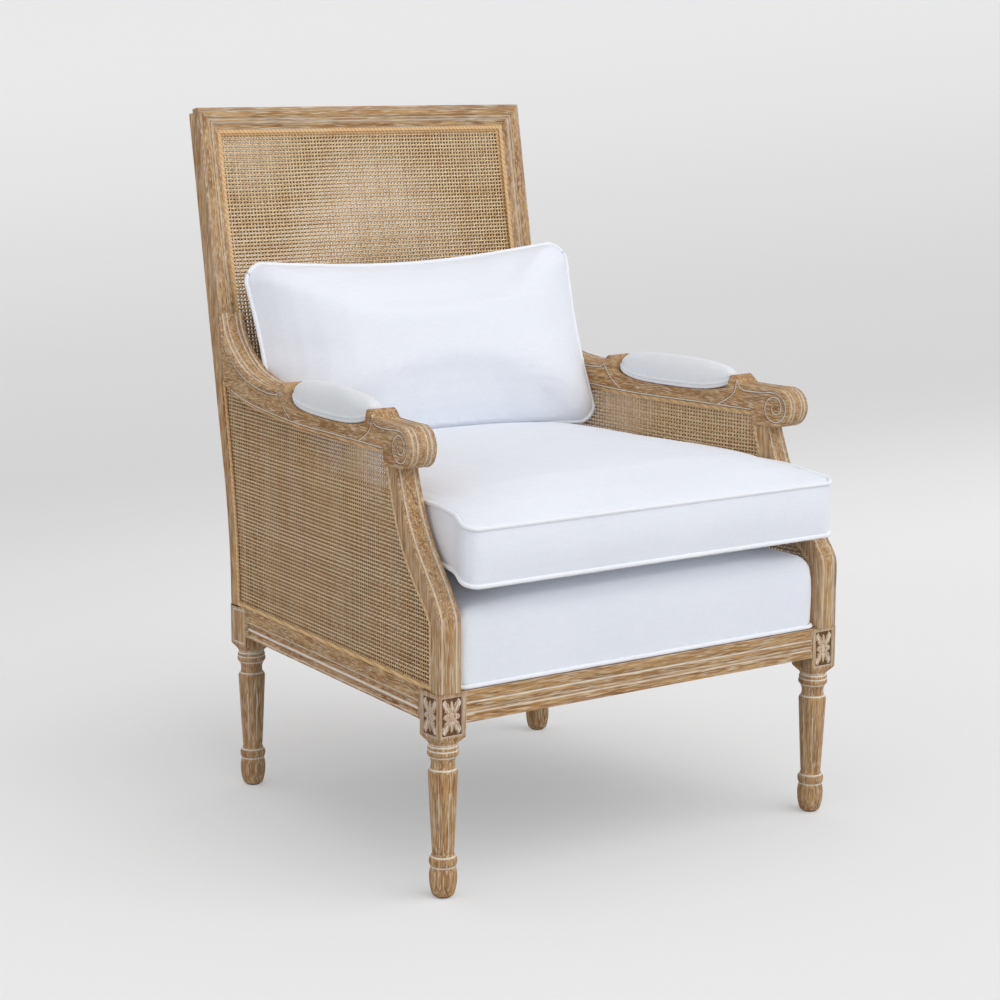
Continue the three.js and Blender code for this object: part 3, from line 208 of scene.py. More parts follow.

# %% [markdown]
# ## Cane and reed
# The panels are woven from the shiny outer skin of rattan, split into flat strands. Each strand has its own
# tone, so a tone attribute on the mesh shifts the colour from strand to strand. The attribute is set negative
# on the back of each strand, where the colour goes to a near-black brown: painted shade, which darkens the
# strands' backs and sides and so the holes between them. The skin is smoother than the oak and takes a soft
# highlight. The spline that wedges the cane into its groove is a round reed with short slanting marks.


# %% Cane strands and the reed spline
def split_cane(name, low_colour, high_colour, mark_size=0):
    material = bpy.data.materials.new(name)
    node = emptied(material)
    place = node("TexCoord", {}, "Object")
    tone = node("Attribute", {}, "Fac", attribute_name="tone")
    patch = node("TexNoise", {"Vector": place, "Scale": 60.0, "Detail": 3.0})
    share = node("Math", {0: tone, 1: patch}, operation="ADD")
    spread = node("MapRange", {0: share, 1: 0.25, 2: 1.25})
    colour = node("Mix", {0: spread, 6: low_colour, 7: high_colour}, 2, data_type="RGBA")
    if mark_size:
        slant = node("Mapping", {"Vector": place, "Rotation": (0.7, 0.5, 0.6)})
        mark = node("TexWave", {"Vector": slant, "Scale": 1000 / mark_size / 6.28, "Distortion": 0.6}, "Fac")
        share, over = node("MapRange", {0: mark, 1: 0.15, 2: 0.6, 3: 0.5, 4: 0.0}), "#B08856"
    else:
        # low and negative tone paints near-black brown: painted shade on the strands' backs and sides
        share, over = node("MapRange", {0: tone, 1: 0.2, 2: -0.3, 4: 0.95}), "#2E1B0C"
    colour = node("Mix", {0: share, 6: colour, 7: over}, 2, data_type="RGBA")
    shine = {"Roughness": 0.55, "Specular IOR Level": 0.2}
    node("OutputMaterial", {"Surface": node("BsdfPrincipled", {"Base Color": colour, **shine})})
    return material


cane_skin = split_cane("split_cane", "#D79C5E", "#FFE0B2")
reed = split_cane("reed_spline", "#E0B680", "#F6DBAE", 2.6)
print("cane materials:", cane_skin.name, reed.name)

# %% [markdown]
# ## Linen
# The cushions are covered in bleached linen with a cool white tone. A linen thread is about 0.5 mm thick,
# too fine to show here, so the weave is drawn as soft slubs 1.8 mm apart that run both ways, mostly as
# bump and a little as colour. Linen has no shine of its own, only a faint sheen at grazing angles.
# The arm pads are covered in the same cloth in a slightly greyer piece.


# %% Bleached linen
slub_width = 1.8


def bleached_linen(name, face_colour, thread_colour):
    material = bpy.data.materials.new(name)
    node = emptied(material)
    place = node("TexCoord", {}, "Object")
    threads = []
    for stretch in ((1, 1, 0.12), (0.12, 0.12, 1)):
        run = node("Mapping", {"Vector": place, "Scale": stretch})
        slub = {"Vector": run, "Scale": 1000 / slub_width, "Detail": 1.0, "Roughness": 0.5}
        threads.append(node("TexNoise", slub))
    weave = node("Math", dict(enumerate(threads)), operation="ADD")
    cloud = node("TexNoise", {"Vector": place, "Scale": 7.0, "Detail": 2.0})
    tone = node("Math", {0: weave, 1: cloud}, operation="ADD")
    share = node("MapRange", {0: tone, 1: 0.9, 2: 2.1})
    colour = node("Mix", {0: share, 6: thread_colour, 7: face_colour}, 2, data_type="RGBA")
    relief = node("Bump", {"Strength": 0.12, "Distance": 0.0005, "Height": weave})
    shine = {"Roughness": 0.92, "Specular IOR Level": 0.2, "Sheen Weight": 0.12, "Sheen Roughness": 0.5}
    cloth = node("BsdfPrincipled", {"Base Color": colour, "Normal": relief, **shine})
    node("OutputMaterial", {"Surface": cloth})
    return material


linen = bleached_linen("bleached_linen", "#F0F3FA", "#E8ECF4")
linen_welt = bleached_linen("linen_welt", "#F6F8FC", "#EEF1F6")
linen_pad = bleached_linen("linen_arm_pad", "#EDEFF1", "#E3E6E9")
print("linen materials:", linen.name, linen_welt.name, linen_pad.name)

# %% [markdown]
# ## Mesh helpers
# Almost every piece of the frame is a shell skinned over rings of points: a turned leg, a moulding run
# along a rail, a swept arm support. A shell also carries its wax, one number per point, and where that
# number is below zero it stands for painted shade. Several shells are then put into one mesh, and a
# right-hand piece is the left-hand one mirrored, as a maker turns the template over.


# %% Shells and pieces
def joined(*parts):
    """Coordinates that are numbers or arrays, as one array of points."""
    return np.stack(np.broadcast_arrays(*parts), -1)


def unit(arrows):
    return arrows / np.maximum(np.linalg.norm(arrows, axis=-1, keepdims=True), 1e-9)


def crosswise(run):
    """A plane's directions, turned by a quarter."""
    return np.stack([-run[..., 1], run[..., 0]], -1)


def skin(rings, liming=0.0, capped=True, loop=False):
    """A surface over rings of points, as its points, its faces and the wax and painted shade of each point.
    """
    rings = np.asarray(rings, float)
    count, size = rings.shape[:2]
    index = np.arange(count * size).reshape(count, size)
    if loop:
        index = np.vstack([index, index[:1]])
    index = np.hstack([index, index[:, :1]])
    quads = np.stack([index[:-1, :-1], index[:-1, 1:], index[1:, 1:], index[1:, :-1]], -1)
    faces = quads.reshape(-1, 4).tolist()
    if capped and not loop:
        faces.append(list(range(size))[::-1])
        faces.append(list(range((count - 1) * size, count * size)))
    waxed = np.broadcast_to(np.asarray(liming, float), (count, size)).reshape(-1)
    return rings.reshape(-1, 3), faces, waxed


def give(mesh, name, values):
    """Puts one number per point on a mesh, under a name that the materials read."""
    mesh.attributes.new(name, "FLOAT", "POINT").data.foreach_set("value", values.astype(np.float32))


def shell_mesh(name, shells):
    """Several shells in one mesh, with every face turned outward."""
    faces, start = [], 0
    for points, shell_faces, _ in shells:
        faces += [[i + start for i in face] for face in shell_faces]
        start += len(points)
    mesh = bpy.data.meshes.new(name)
    mesh.from_pydata(to_row(np.vstack([shell[0] for shell in shells])).tolist(), [], faces)
    give(mesh, "liming", np.concatenate([shell[2] for shell in shells]))
    work = bmesh.new()
    work.from_mesh(mesh)
    bmesh.ops.recalc_face_normals(work, faces=work.faces)
    if work.calc_volume(signed=True) < 0:
        bmesh.ops.reverse_faces(work, faces=work.faces)
    work.to_mesh(mesh)
    work.free()
    return mesh


def shade(mesh, angle):
    mesh.shade_smooth()
    mesh.set_sharp_from_angle(angle=math.radians(angle))


def make_piece(name, shells, material, body="frame", slot="limed_oak", angle=32):
    mesh = shell_mesh(name, shells)
    mesh.materials.append(material)
    shade(mesh, angle)
    piece = put(name, mesh)
    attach(piece, body)
    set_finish(piece, slot)
    return piece


def turned_over(piece, name):
    mesh = piece.data.copy()
    mesh.transform(Matrix.Scale(-1, 4, (1, 0, 0)))
    mesh.flip_normals()
    other = put(name, mesh)
    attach(other, piece["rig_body"])
    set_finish(other, piece["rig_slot"])
    return other


def through(knots, steps):
    """A smooth line through the knots."""
    knots = np.asarray(knots, float)
    padded = np.vstack([knots[:1], knots, knots[-1:]])
    line = []
    for p0, p1, p2, p3 in zip(padded, padded[1:], padded[2:], padded[3:]):
        a, b = (p2 - p0) / 2, (p3 - p1) / 2
        for t in np.linspace(0, 1, steps, endpoint=False):
            line.append((2 * p1 - 2 * p2 + a + b) * t**3 + (-3 * p1 + 3 * p2 - 2 * a - b) * t**2 + a * t + p1)
    return np.array([*line, knots[-1]])


def even(line, count, closed=False):
    """The same line with its points evenly spaced."""
    line = np.asarray(line, float)
    if closed:
        line = np.vstack([line, line[:1]])
    lengths = np.concatenate([[0], np.cumsum(np.linalg.norm(np.diff(line, axis=0), axis=1))])
    marks = np.linspace(0, lengths[-1], count + 1 if closed else count)
    placed = np.stack([np.interp(marks, lengths, line[:, k]) for k in range(line.shape[1])], -1)
    return placed[:-1] if closed else placed


def mirrored(section, width):
    """A moulding's section from one edge to its middle, as the whole width."""
    return np.array([*section, *((width - t, depth, wax) for t, depth, wax in section[-2::-1])], float)


def smoothstep(value, low, high):
    share = np.clip((np.asarray(value, float) - low) / (high - low), 0, 1)
    return share * share * (3 - 2 * share)


print("helpers ready")

# %% [markdown]
# ## Lines that the whole frame follows
# The back is upright at the seat, bends between two heights and then runs straight at a rake of nearly
# ten degrees. The sides taper towards the back, so each side frame has its own plane. These two rules
# place every piece, exactly as in the CAD model.

# %% Setting out
front_width, back_width, frame_depth, chair_height = 702, 586, 638, 1020
rail_top, block_bottom, block_size = 280.6, 220.8, 43.6
back_rake = math.radians(9.75)
bend_start, bend_end = 285, 480
stile_top_depth, stile_width, back_outer = 33, 32.7, 294.7
side_taper = math.atan((front_width - back_width) / 2 / frame_depth)
side_cos, side_sin = math.cos(side_taper), math.sin(side_taper)
rake_rise = math.tan(back_rake)
gap = 0.3


def stile_depth(height):
    share = np.maximum((height - bend_start) / (chair_height - bend_start), 0)
    return block_size + (stile_top_depth - block_size) * share


def back_point(across, height, behind):
    """A point of the back, at a height along its line and a depth behind its front face."""
    length = bend_end - bend_start
    bend = np.clip((height - bend_start) / length, 0, 1)
    straight = np.maximum(height - bend_end, 0)
    centre = frame_depth - block_size / 2 + rake_rise * (length * bend * bend / 2 + straight)
    lean = np.arctan(rake_rise * bend)
    forward = stile_depth(height) / 2 - behind
    return joined(across, centre - forward * np.cos(lean), height + forward * np.sin(lean))


def back_setback(height, behind):
    return back_point(0, height, behind)[..., 1] / side_cos


def side_point(inward, setback, height):
    """A point of the left side frame: inward from its outer plane, back along it, and up."""
    x = inward * side_cos + setback * side_sin - front_width / 2
    y = setback * side_cos - inward * side_sin
    return joined(x, y, height)


crest_centre = chair_height - (stile_top_depth / 2) * math.sin(back_rake)
frame_foot = rail_top + gap
back_inner = back_outer - stile_width
back_low = frame_foot + 34
back_high = crest_centre - stile_width * math.cos(back_rake)
print("side frames taper by", round(math.degrees(side_taper), 2), "degrees")

# %% [markdown]
# ## Turned legs
# Each leg is turned from the same square as the block above it: a bulb foot, a ring, a tapering shaft and
# a neck with two small rings. Between the shapes the chisel leaves a crease, and the wax stays in it. The
# profile is drawn as runs that meet in those creases. Each run is a smooth line through a few knots, and
# the flutes are cut by pulling a few points of each ring inward.

# %% Leg turning
flute_count, flute_turn = 8, math.radians(-7)
flute_low, flute_high, flute_cut, flute_fade = 71, 147, 1.3, 2.5
flute_marks = [-3.2, -1.7, 0, 1.7, 3.2, 8, 15, 22.5, 30, 37]
flute_shares = [0, 0.7, 1, 0.7, 0, 0, 0, 0, 0, 0]
ankle_radius, shoulder_radius, neck_radius = 14.3, 20, 19.1
ankle_height, shaft_end, shoulder_height, crease_width = 60.8, 168, 171, 0.9

flute_ends = [flute_low + step for step in (0, 1, flute_fade)]
flute_ends += [flute_high - step for step in (0, 1, flute_fade)]
shaft_heights = np.unique([*np.linspace(ankle_height, shaft_end, 26), *flute_ends])
shaft_shares = (shaft_heights - ankle_height) / (shoulder_height - ankle_height)
shaft_radii = ankle_radius + (shoulder_radius - ankle_radius) * (
    np.sqrt(shaft_shares) * 0.25 + shaft_shares * 0.75
)
leg_runs = [
    through([(3, 13.9), (7, 15.75), (17.4, 18), (29.4, 18.75), (37.8, 18), (43, 16.3)], 4),
    through([(43, 16.3), (45, 17.9), (50, 18.95), (54.6, 18.1), (56.6, 15.3)], 4),
    through([(56.6, 15.3), (58.2, 15.6), (59.8, 15.1), (ankle_height, ankle_radius)], 3),
    np.stack([shaft_heights, shaft_radii], -1),
    through(
        [
            (shaft_end, 19.85), (shoulder_height, shoulder_radius), (173.8, 19.3), (175.2, 18.4),
            (175.9, 17.2),
        ],
        3,
    ),
    through([(175.9, 17.2), (179, 16.3), (183, 15.8), (188, 16.4), (191.4, 17.9), (193, 18.4)], 3),
    through([(193, 18.4), (195, 20.4), (198, 21.2), (200.8, 20.6), (201.8, 19.4)], 4),
    through([(201.8, 19.4), (203.8, 20.4), (206.2, 20.2), (207.6, 19.2)], 4),
    np.array([(207.6, 19.2), (209.8, neck_radius), (214, neck_radius)]),
]  # fmt: skip
creases = [leg_runs[i][-1, 0] for i in (0, 1, 4, 5, 6, 7)]


def turned_leg(across, deep):
    profile = np.vstack([run if i == 0 else run[1:] for i, run in enumerate(leg_runs)])
    height, radius = profile[:, :1], profile[:, 1:]
    marks = np.radians([[f * 360 / flute_count + m for f in range(flute_count) for m in flute_marks]])
    marks = marks + flute_turn
    shares = np.array([flute_shares * flute_count])
    span = smoothstep(height, flute_low, flute_low + flute_fade) * (
        1 - smoothstep(height, flute_high - flute_fade, flute_high)
    )
    reach = radius - flute_cut * shares * span
    rings = joined(across + reach * np.cos(marks), deep + reach * np.sin(marks), height)
    crease = np.min(np.abs(height - np.array([creases])), axis=1, keepdims=True)
    wax = np.maximum(np.exp(-((crease / crease_width) ** 2)), shares * span)
    return skin(rings, wax)


print("leg profile of", sum(len(run) for run in leg_runs), "points,", flute_count, "flutes")

# %% [markdown]
# ## Leg blocks and rosettes
# Where the rails meet, the leg stays square. The front blocks carry a sunk panel with a carved rosette on
# both outer faces: four leaves that point to the corners, four buds between them and an eye. A relief
# like this is a height over a flat panel, so it is made as a fine grid lifted by one function. The ground
# between the leaves is cut deepest and painted dark brown as painted shade, and the leaves are full of wax.
# The rear blocks only have a scratched line that frames a plain field.


# %% Blocks, panels and rosettes
panel_margin, panel_sink, line_sink, leaf_rise = 5.5, 2.3, 1.3, 2.1
panel_low, panel_high = block_bottom + 2.75, rail_top - panel_margin


def square_block(across, deep):
    turns = np.linspace(0, 2 * math.pi, 48, endpoint=False)
    square = (block_size / 2) / np.maximum(np.abs(np.cos(turns)), np.abs(np.sin(turns)))
    rings = []
    for height, share in [(block_bottom, 0), (218.6, 0.16), (215.2, 0.5), (212, 0.86), (209.9, 1)]:
        reach = square * (1 - share) + neck_radius * share
        rings.append(joined(across + reach * np.cos(turns), deep + reach * np.sin(turns), height))
    return skin(rings, np.array([[0.0]] * 4 + [[0.9]]))


def block_faces(across, deep, panels):
    """The block as a box whose named faces have a sunk panel: "line" or "rosette"."""
    half = block_size / 2
    shells, points, faces, wax = [], [], [], []

    def add(corners, waxed):
        faces.append(list(range(len(points), len(points) + 4)))
        points.extend(corners)
        wax.extend(waxed)

    for turn in range(4):
        angle = turn * math.pi / 2
        side, out = Vector((math.cos(angle), math.sin(angle))), Vector((math.sin(angle), -math.cos(angle)))

        def at(u, height, sink):
            place = side * u + out * (half - sink)
            return (across + place.x, deep + place.y, height)

        def corners(reach, low, high, sink):
            return [at(u, z, sink) for u, z in ((-reach, low), (reach, low), (reach, high), (-reach, high))]

        def border(outer, inner, outer_wax, inner_wax):
            a, b = corners(*outer), corners(*inner)
            for k, m in ((0, 1), (1, 2), (2, 3), (3, 0)):
                add([a[k], a[m], b[m], b[k]], [outer_wax, outer_wax, inner_wax, inner_wax])

        kind = panels.get(turn)
        full, edge = (half, block_bottom, rail_top, 0), (half - panel_margin, panel_low, panel_high, 0)
        if kind is None:
            add(corners(*full), [0] * 4)
            continue
        border(full, edge, 0, 0.25)
        sink = panel_sink if kind == "rosette" else line_sink
        steps = [(0.5, sink, 0.3, 0.9)]
        if kind == "line":
            steps += [(1.1, sink, 0.9, 0.8), (0.9, 0.25, 0.8, 0.1)]
        for margin, sink, outer_wax, inner_wax in steps:
            inner = (edge[0] - margin, edge[1] + margin, edge[2] - margin, sink)
            border(edge, inner, outer_wax, inner_wax)
            edge = inner
        # the sunk field behind a rosette is painted dark brown: painted shade
        add(corners(*edge), [0.0 if kind == "line" else -0.9] * 4)
        if kind == "rosette":
            shells.append(rosette(at, *edge))
    for height in (block_bottom, rail_top):
        ends = ((-half, -half), (half, -half), (half, half), (-half, half))
        add([(across + x, deep + y, height) for x, y in ends], [0] * 4)
    return [(np.array(points), faces, np.array(wax, float)), *shells]


def rosette_height(u, v):
    radius, turn = np.hypot(u, v), np.arctan2(v, u)
    leaf, bud = np.abs(np.sin(2 * turn)), np.abs(np.cos(2 * turn))
    leaf_edge = 0.3 + 0.98 * leaf**2.6 + 0.07 * np.cos(17 * radius)
    leaves = smoothstep(leaf_edge - radius, 0, 0.13) * (0.62 + 0.38 * np.sin(radius * 2.4))
    leaves = leaves * (1 - 0.6 * np.exp(-(((1 - leaf) / 0.02) ** 2)) * smoothstep(radius, 0.3, 0.5))
    buds = smoothstep(0.3 + 0.56 * bud**3.2 - radius, 0, 0.12) * 0.85
    crease = 1 - 0.7 * np.exp(-(((leaf - bud) / 0.16) ** 2)) * smoothstep(radius, 0.26, 0.4)
    petals = np.maximum(leaves, buds) * crease
    eye = np.sqrt(np.clip(1 - (radius / 0.25) ** 2, 0, 1))
    moat = 1 - np.exp(-(((radius - 0.28) / 0.04) ** 2)) * 0.8
    return np.clip(np.maximum(petals * moat, eye), 0, 1)


def rosette(at, reach, low, high, sink):
    columns = np.linspace(-1, 1, 40)
    rings, wax = [], []
    for v in np.linspace(-1, 1, 62):
        lifted = rosette_height(columns, v) * np.minimum(1, (1.02 - abs(v)) * 12)
        height = (low + high) / 2 + v * (high - low) / 2
        leaves = [at(u * reach, height, sink - 0.1 - k * leaf_rise) for u, k in zip(columns, lifted)]
        rings.append([at(-reach, height, sink + 0.6), *leaves, at(reach, height, sink + 0.6)])
        # the low ground between the leaves is painted dark brown: painted shade
        wax.append([0, *np.where(lifted < 0.2, -1.0, 1.0 - 0.8 * lifted), 0])
    return skin(rings, np.array(wax))


def leg(name, place, panels):
    shells = [turned_leg(*place), square_block(*place), *block_faces(*place, panels)]
    return make_piece(name, shells, oak_upright)


front_leg_at = (-front_width / 2 + block_size / 2, block_size / 2)
front_leg = leg("turned_front_leg_left", front_leg_at, {0: "rosette", 3: "rosette"})
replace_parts(front_leg, "front_leg_left")
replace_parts(turned_over(front_leg, "turned_front_leg_right"), "front_leg_right")
rear_leg_at = (-back_width / 2 + block_size / 2, frame_depth - block_size / 2)
rear_leg = leg("turned_rear_leg_left", rear_leg_at, {3: "line"})
rear_leg_right = turned_over(rear_leg, "turned_rear_leg_right")
print("legs:", len(front_leg.data.polygons), "and", len(rear_leg.data.polygons), "faces each")

# %% [markdown]
# ## Side panels' outline
# The cane of each side fills the space between the arm support, the seat rail, the arm and the back. Its
# front edge follows the sweep of the support and its top edge the underside of the arm. The same outline
# serves to cut the rebate into the back post, to shape the arm's lower edge and to trim the strands.

# %% The arm support's line and the cane opening
support_depth, support_swell = 22, 6
knee_height, scroll_radius, scroll_height = 383, 28.5, 593
cane_rebate, spline_width, tongue = 6.3, 5, 6
support_top = scroll_height - scroll_radius - gap
sweep_rise = support_top - knee_height
support_sweep = sweep_rise * 0.6291
scroll_setback = support_sweep - 18
sweep_knots = [
    (0, -0.07), (0.04, 0.03), (0.2, 0.17), (0.41, 0.32), (0.63, 0.49), (0.82, 0.69), (0.95, 0.9), (1, 1),
]  # fmt: skip
support_knots = [(0, frame_foot), (0, (rail_top + knee_height) / 2)] + [
    (back * support_sweep, knee_height + up * sweep_rise) for back, up in sweep_knots
]
support_line = even(through(support_knots, 16), 61)
support_share = np.linspace(0, 1, 61)[:, None]
support_run = np.gradient(support_line, axis=0)
support_run[0] = support_run[-1] = (0, 1)
support_run = unit(support_run)
support_back = -crosswise(support_run)
support_thick = support_depth + support_swell * np.sin(math.pi * smoothstep(support_share, 0.2, 1))

opening_bottom, opening_top, opening_rear = rail_top + 1.6, scroll_height - 9, scroll_height + 43
rear_heights = np.linspace(opening_bottom, opening_rear, 15)
rear_edge = np.stack([back_setback(rear_heights, stile_depth(rear_heights) / 2), rear_heights], -1)
front_edge = (support_line + support_back * support_thick)[::-1]
low_end, high_end = opening_bottom + spline_width, opening_top - spline_width
front_edge = front_edge[(front_edge[:, 1] > low_end) & (front_edge[:, 1] < high_end)]
under_front = np.array([front_edge[0][0] + spline_width / 2, opening_top])
under_knots = [rear_edge[-1]] + [
    (under_front[0] + along * (rear_edge[-1][0] - under_front[0]), opening_top + up * 52)
    for along, up in ((0.975, 0.66), (0.92, 0.42), (0.83, 0.24), (0.72, 0.12), (0.5, 0), (0.25, 0))
]
under_arm = through([*under_knots, under_front], 6)
opening = np.vstack([[(front_edge[-1][0], opening_bottom)], rear_edge, under_arm[1:], front_edge])


def inset(outline, distance):
    """Moves each point of a closed outline inward, along the mitre of its two edges."""
    outline = np.asarray(outline, float)
    before, after = np.roll(outline, 1, axis=0), np.roll(outline, -1, axis=0)
    area = np.sum(outline[:, 0] * after[:, 1] - after[:, 0] * outline[:, 1])
    normal = crosswise(unit(outline - before))
    mitre = unit(normal + crosswise(unit(after - outline)))
    lean = np.maximum(np.sum(mitre * normal, axis=1), 0.45)
    return outline + mitre * (np.sign(area) * np.asarray(distance) / lean)[:, None]


print("cane opening:", len(opening), "points,", round(float(np.ptp(opening[:, 0]))), "mm long")

# %% [markdown]
# ## Raked back
# The back post runs on above its block behind a moulded face frame, which is mitred at the top corners.
# Both are skinned along the bent line of the back. The side cane laps over the post, so a prism of the
# opening's outline is cut away from both with a boolean, as a router would cut the rebate.


# %% Cutting a rebate
def baked(piece):
    """Gives the piece the mesh that its modifiers make of it."""
    bpy.context.view_layer.update()
    graph = bpy.context.evaluated_depsgraph_get()
    result = bpy.data.meshes.new_from_object(piece.evaluated_get(graph))
    piece.modifiers.clear()
    piece.data = result
    return result


def cut_away(piece, shells, solver="EXACT"):
    cutter = put("cutter", shell_mesh("cutter", shells))
    modifier = piece.modifiers.new("cut", "BOOLEAN")
    modifier.operation, modifier.solver, modifier.object = "DIFFERENCE", solver, cutter
    baked(piece)
    bpy.data.objects.remove(cutter)


rebate_prism = skin([side_point(inward, *opening.T) for inward in (-30, cane_rebate)])

# %% Back posts above the blocks
post_heights = np.unique([rail_top - 2, *np.linspace(bend_start, bend_end, 12), crest_centre - 5])
post_section = [(0, 0), (0, 1), (0.7, 1.8), (2, 2), (3, 2), (4.3, 1.8), (5, 1), (5, 0)]
post_across = np.interp([x for x, _ in post_section], range(6), [-293, -292.2, -291, -264, -262.8, -262])
post_rings = []
for height in post_heights:
    depth = float(stile_depth(height))
    behind = {0: 17.3, 1: depth - 2, 1.8: depth - 0.6, 2: depth}
    post_rings.append(back_point(post_across, height, np.array([behind[row] for _, row in post_section])))
back_post = make_piece("back_stile_left", [skin(post_rings)], oak_upright)
cut_away(back_post, [rebate_prism])
shade(back_post.data, 32)
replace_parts(back_post, "back_post_left")
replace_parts(rear_leg, "back_post_left")
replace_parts(turned_over(back_post, "back_stile_right"), "back_post_right")
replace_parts(rear_leg_right, "back_post_right")
print("back stile cut:", len(back_post.data.polygons), "faces")

# %% Moulded face of the back
face_section = np.array(
    [
        (0, 2.4, 0.1), (0.5, 1.7, 0.1), (1.4, 1.4, 0.1), (3.9, 1.4, 0.1), (4.5, 2.4, 0.7),
        (4.9, 3.4, 1), (5.3, 2.2, 0.6), (5.8, 1.3, 0.1), (7.2, 0.5, 0), (9.2, 0.1, 0),
        (11.4, 0, 0), (14, 0.4, 0), (16, 1.3, 0), (17, 2.6, 0.5), (17.4, 3.5, 1),
        (17.8, 2.9, 0.7), (18.6, 2.2, 0), (19.8, 2.1, 0), (20.8, 2.7, 0.2), (21.4, 3.9, 0.9),
        (22.2, 4.2, 0.3), (26, 5.5, 0), (30.5, 6.7, 0), (32, 7.0, 0.2), (32.7, 7.4, 0.6),
        (32.7, 17, 0), (0, 17, 0),
    ]
)  # fmt: skip
face_across, face_behind, face_wax = face_section.T
stile_heights = np.unique([frame_foot, *np.linspace(bend_start, bend_end, 16), 620, 721])
stile_rings = [back_point(-back_outer + face_across, h, face_behind) for h in stile_heights]
mitre_heights = crest_centre - face_across * math.cos(back_rake)
stile_rings.append(back_point(-back_outer + face_across, mitre_heights, face_behind))
face_stile = make_piece("moulded_stile_left", [skin(stile_rings, face_wax)], oak_upright)
cut_away(face_stile, [rebate_prism])
shade(face_stile.data, 40)
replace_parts(face_stile, "back_face_stile_left")
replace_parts(turned_over(face_stile, "moulded_stile_right"), "back_face_stile_right")

crest_rings = [
    back_point(hand * (back_outer - face_across - gap * 1.4142), mitre_heights, face_behind)
    for hand in (-1, -0.999, 0.999, 1)
]
crest_wax = np.stack([np.maximum(face_wax, low) for low in (0.8, -1, -1, 0.8)])
face_crest = make_piece("moulded_crest", [skin(crest_rings, crest_wax)], oak_across, angle=40)
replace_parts(face_crest, "back_face_crest")
print("face frame:", len(face_stile.data.polygons), "faces in a stile")

# %% [markdown]
# ## Seat rails
# The front rail shows three bands parted by fine sunk lines. Each side rail has two flutes that stop
# square before the blocks, painted dark brown inside as painted shade, and waxed along the ridge between
# them.
# Both are one moulding run along a straight line, so each is a skin over equal sections. In the side rail
# the depth of the section falls to nothing at the stops.


# %% Front and side rails
front_rail_section = np.array(
    [
        (0.7, 280.6, 0.3), (0, 279.8, 0), (0, 266.8, 0), (0.4, 265.8, 0.3), (1.7, 265.1, 1),
        (1.7, 264.2, 1), (0.5, 263.4, 0.3), (0.1, 262, 0), (0, 259.2, 0), (0.1, 256.6, 0),
        (0.6, 255.6, 0.2), (1.4, 255, 0.8), (0.6, 254.4, 0.2), (0.2, 252.8, -0.2), (0.5, 251.2, 0.1),
        (1.7, 250.4, 1), (1.7, 249.4, 0.8), (0.4, 248.6, 0.1), (0, 247.6, 0), (0, 238.4, 0),
        (0.8, 237.6, 0.2), (27, 237.6, 0), (27, 280.6, 0),
    ]
)  # fmt: skip
rail_set = 1.2
rail_depth, rail_up, rail_wax = front_rail_section.T
rail_reach = front_width / 2 - block_size - gap
rail_ends = [(-1, 0, 0.9), (-1, 0.8, 0.6), (-1, 1.6, 0), (1, 1.6, 0), (1, 0.8, 0.6), (1, 0, 0.9)]
rail_rings = [
    joined(hand * (rail_reach - step), rail_depth + rail_set, rail_up) for hand, step, _ in rail_ends
]
rail_waxes = np.array([np.maximum(rail_wax, wax) for _, _, wax in rail_ends])
front_rail = make_piece("moulded_front_rail", [skin(rail_rings, rail_waxes)], oak_across, angle=40)
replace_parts(front_rail, "front_seat_rail")

# negative numbers in the last column paint dark brown into the flutes: painted shade
flute_section = np.array(
    [
        (0, 282.2, 0), (0, 263.4, 0), (0.2, 262.4, 0.6), (0.5, 261.6, 1), (1.7, 260.4, -0.4),
        (2.6, 258.8, -1), (2.9, 257, -1), (2.5, 255, -0.8), (1.5, 253.6, -0.1), (0.4, 252.8, 1),
        (0.1, 252, 0.9), (0.1, 251.2, 0.9), (0.4, 250.2, 0.9), (1.6, 248.8, -0.4), (2.6, 247.2, -1),
        (2.9, 245.3, -1), (2.5, 243.4, -0.8), (1.5, 242, -0.1), (0.4, 241, 0.8), (0, 240.2, 0.1),
        (0, 238.4, 0), (0.8, 237.6, 0.2),
    ]
)  # fmt: skip
rail_from, rail_to = block_size + gap, frame_depth - block_size - gap
rail_inside, side_rail_low, side_rail_top = 33.2, 237.6, 282.2
tongue_from, tongue_to, tongue_low, tongue_top = 72, 590, 281, 288.2
stops = np.array([0, 1.2, 13.6, 14.2])
between = np.linspace(rail_from + 60, rail_to - 60, 5)
rail_marks = np.concatenate([rail_from + stops, between, rail_to - stops[::-1]])
cut_shares = [0, 0, 0, 1, 1, 1, 1, 1, 1, 1, 0, 0, 0]
end_waxes = [0.8, *[0] * 11, 0.8]
flute_sunk, flute_up, flute_wax_and_shade = flute_section.T
side_rail_rings, side_rail_wax_and_shade = [], []
for y, share, end in zip(rail_marks, cut_shares, end_waxes):
    inward = np.array([*(rail_set + flute_sunk * share), rail_inside, rail_inside])
    height = np.array([*flute_up, side_rail_low, side_rail_top])
    side_rail_rings.append(side_point(inward, (y + inward * side_sin) / side_cos, height))
    side_rail_wax_and_shade.append([*np.maximum(flute_wax_and_shade * share, end), 0, 0])
tongue_along = np.array([tongue_from, tongue_to, tongue_to, tongue_from])
tongue_up = np.array([tongue_low, tongue_low, tongue_top, tongue_top])
cane_tongue = skin([side_point(inward, tongue_along, tongue_up) for inward in (6.6, 27.4)])
side_rail = make_piece(
    "fluted_side_rail_left", [skin(side_rail_rings, np.array(side_rail_wax_and_shade)), cane_tongue], oak_deep, angle=40
)
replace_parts(side_rail, "side_seat_rail_left")
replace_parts(turned_over(side_rail, "fluted_side_rail_right"), "side_seat_rail_right")
print("rails:", len(side_rail.data.polygons), "faces in a side rail")

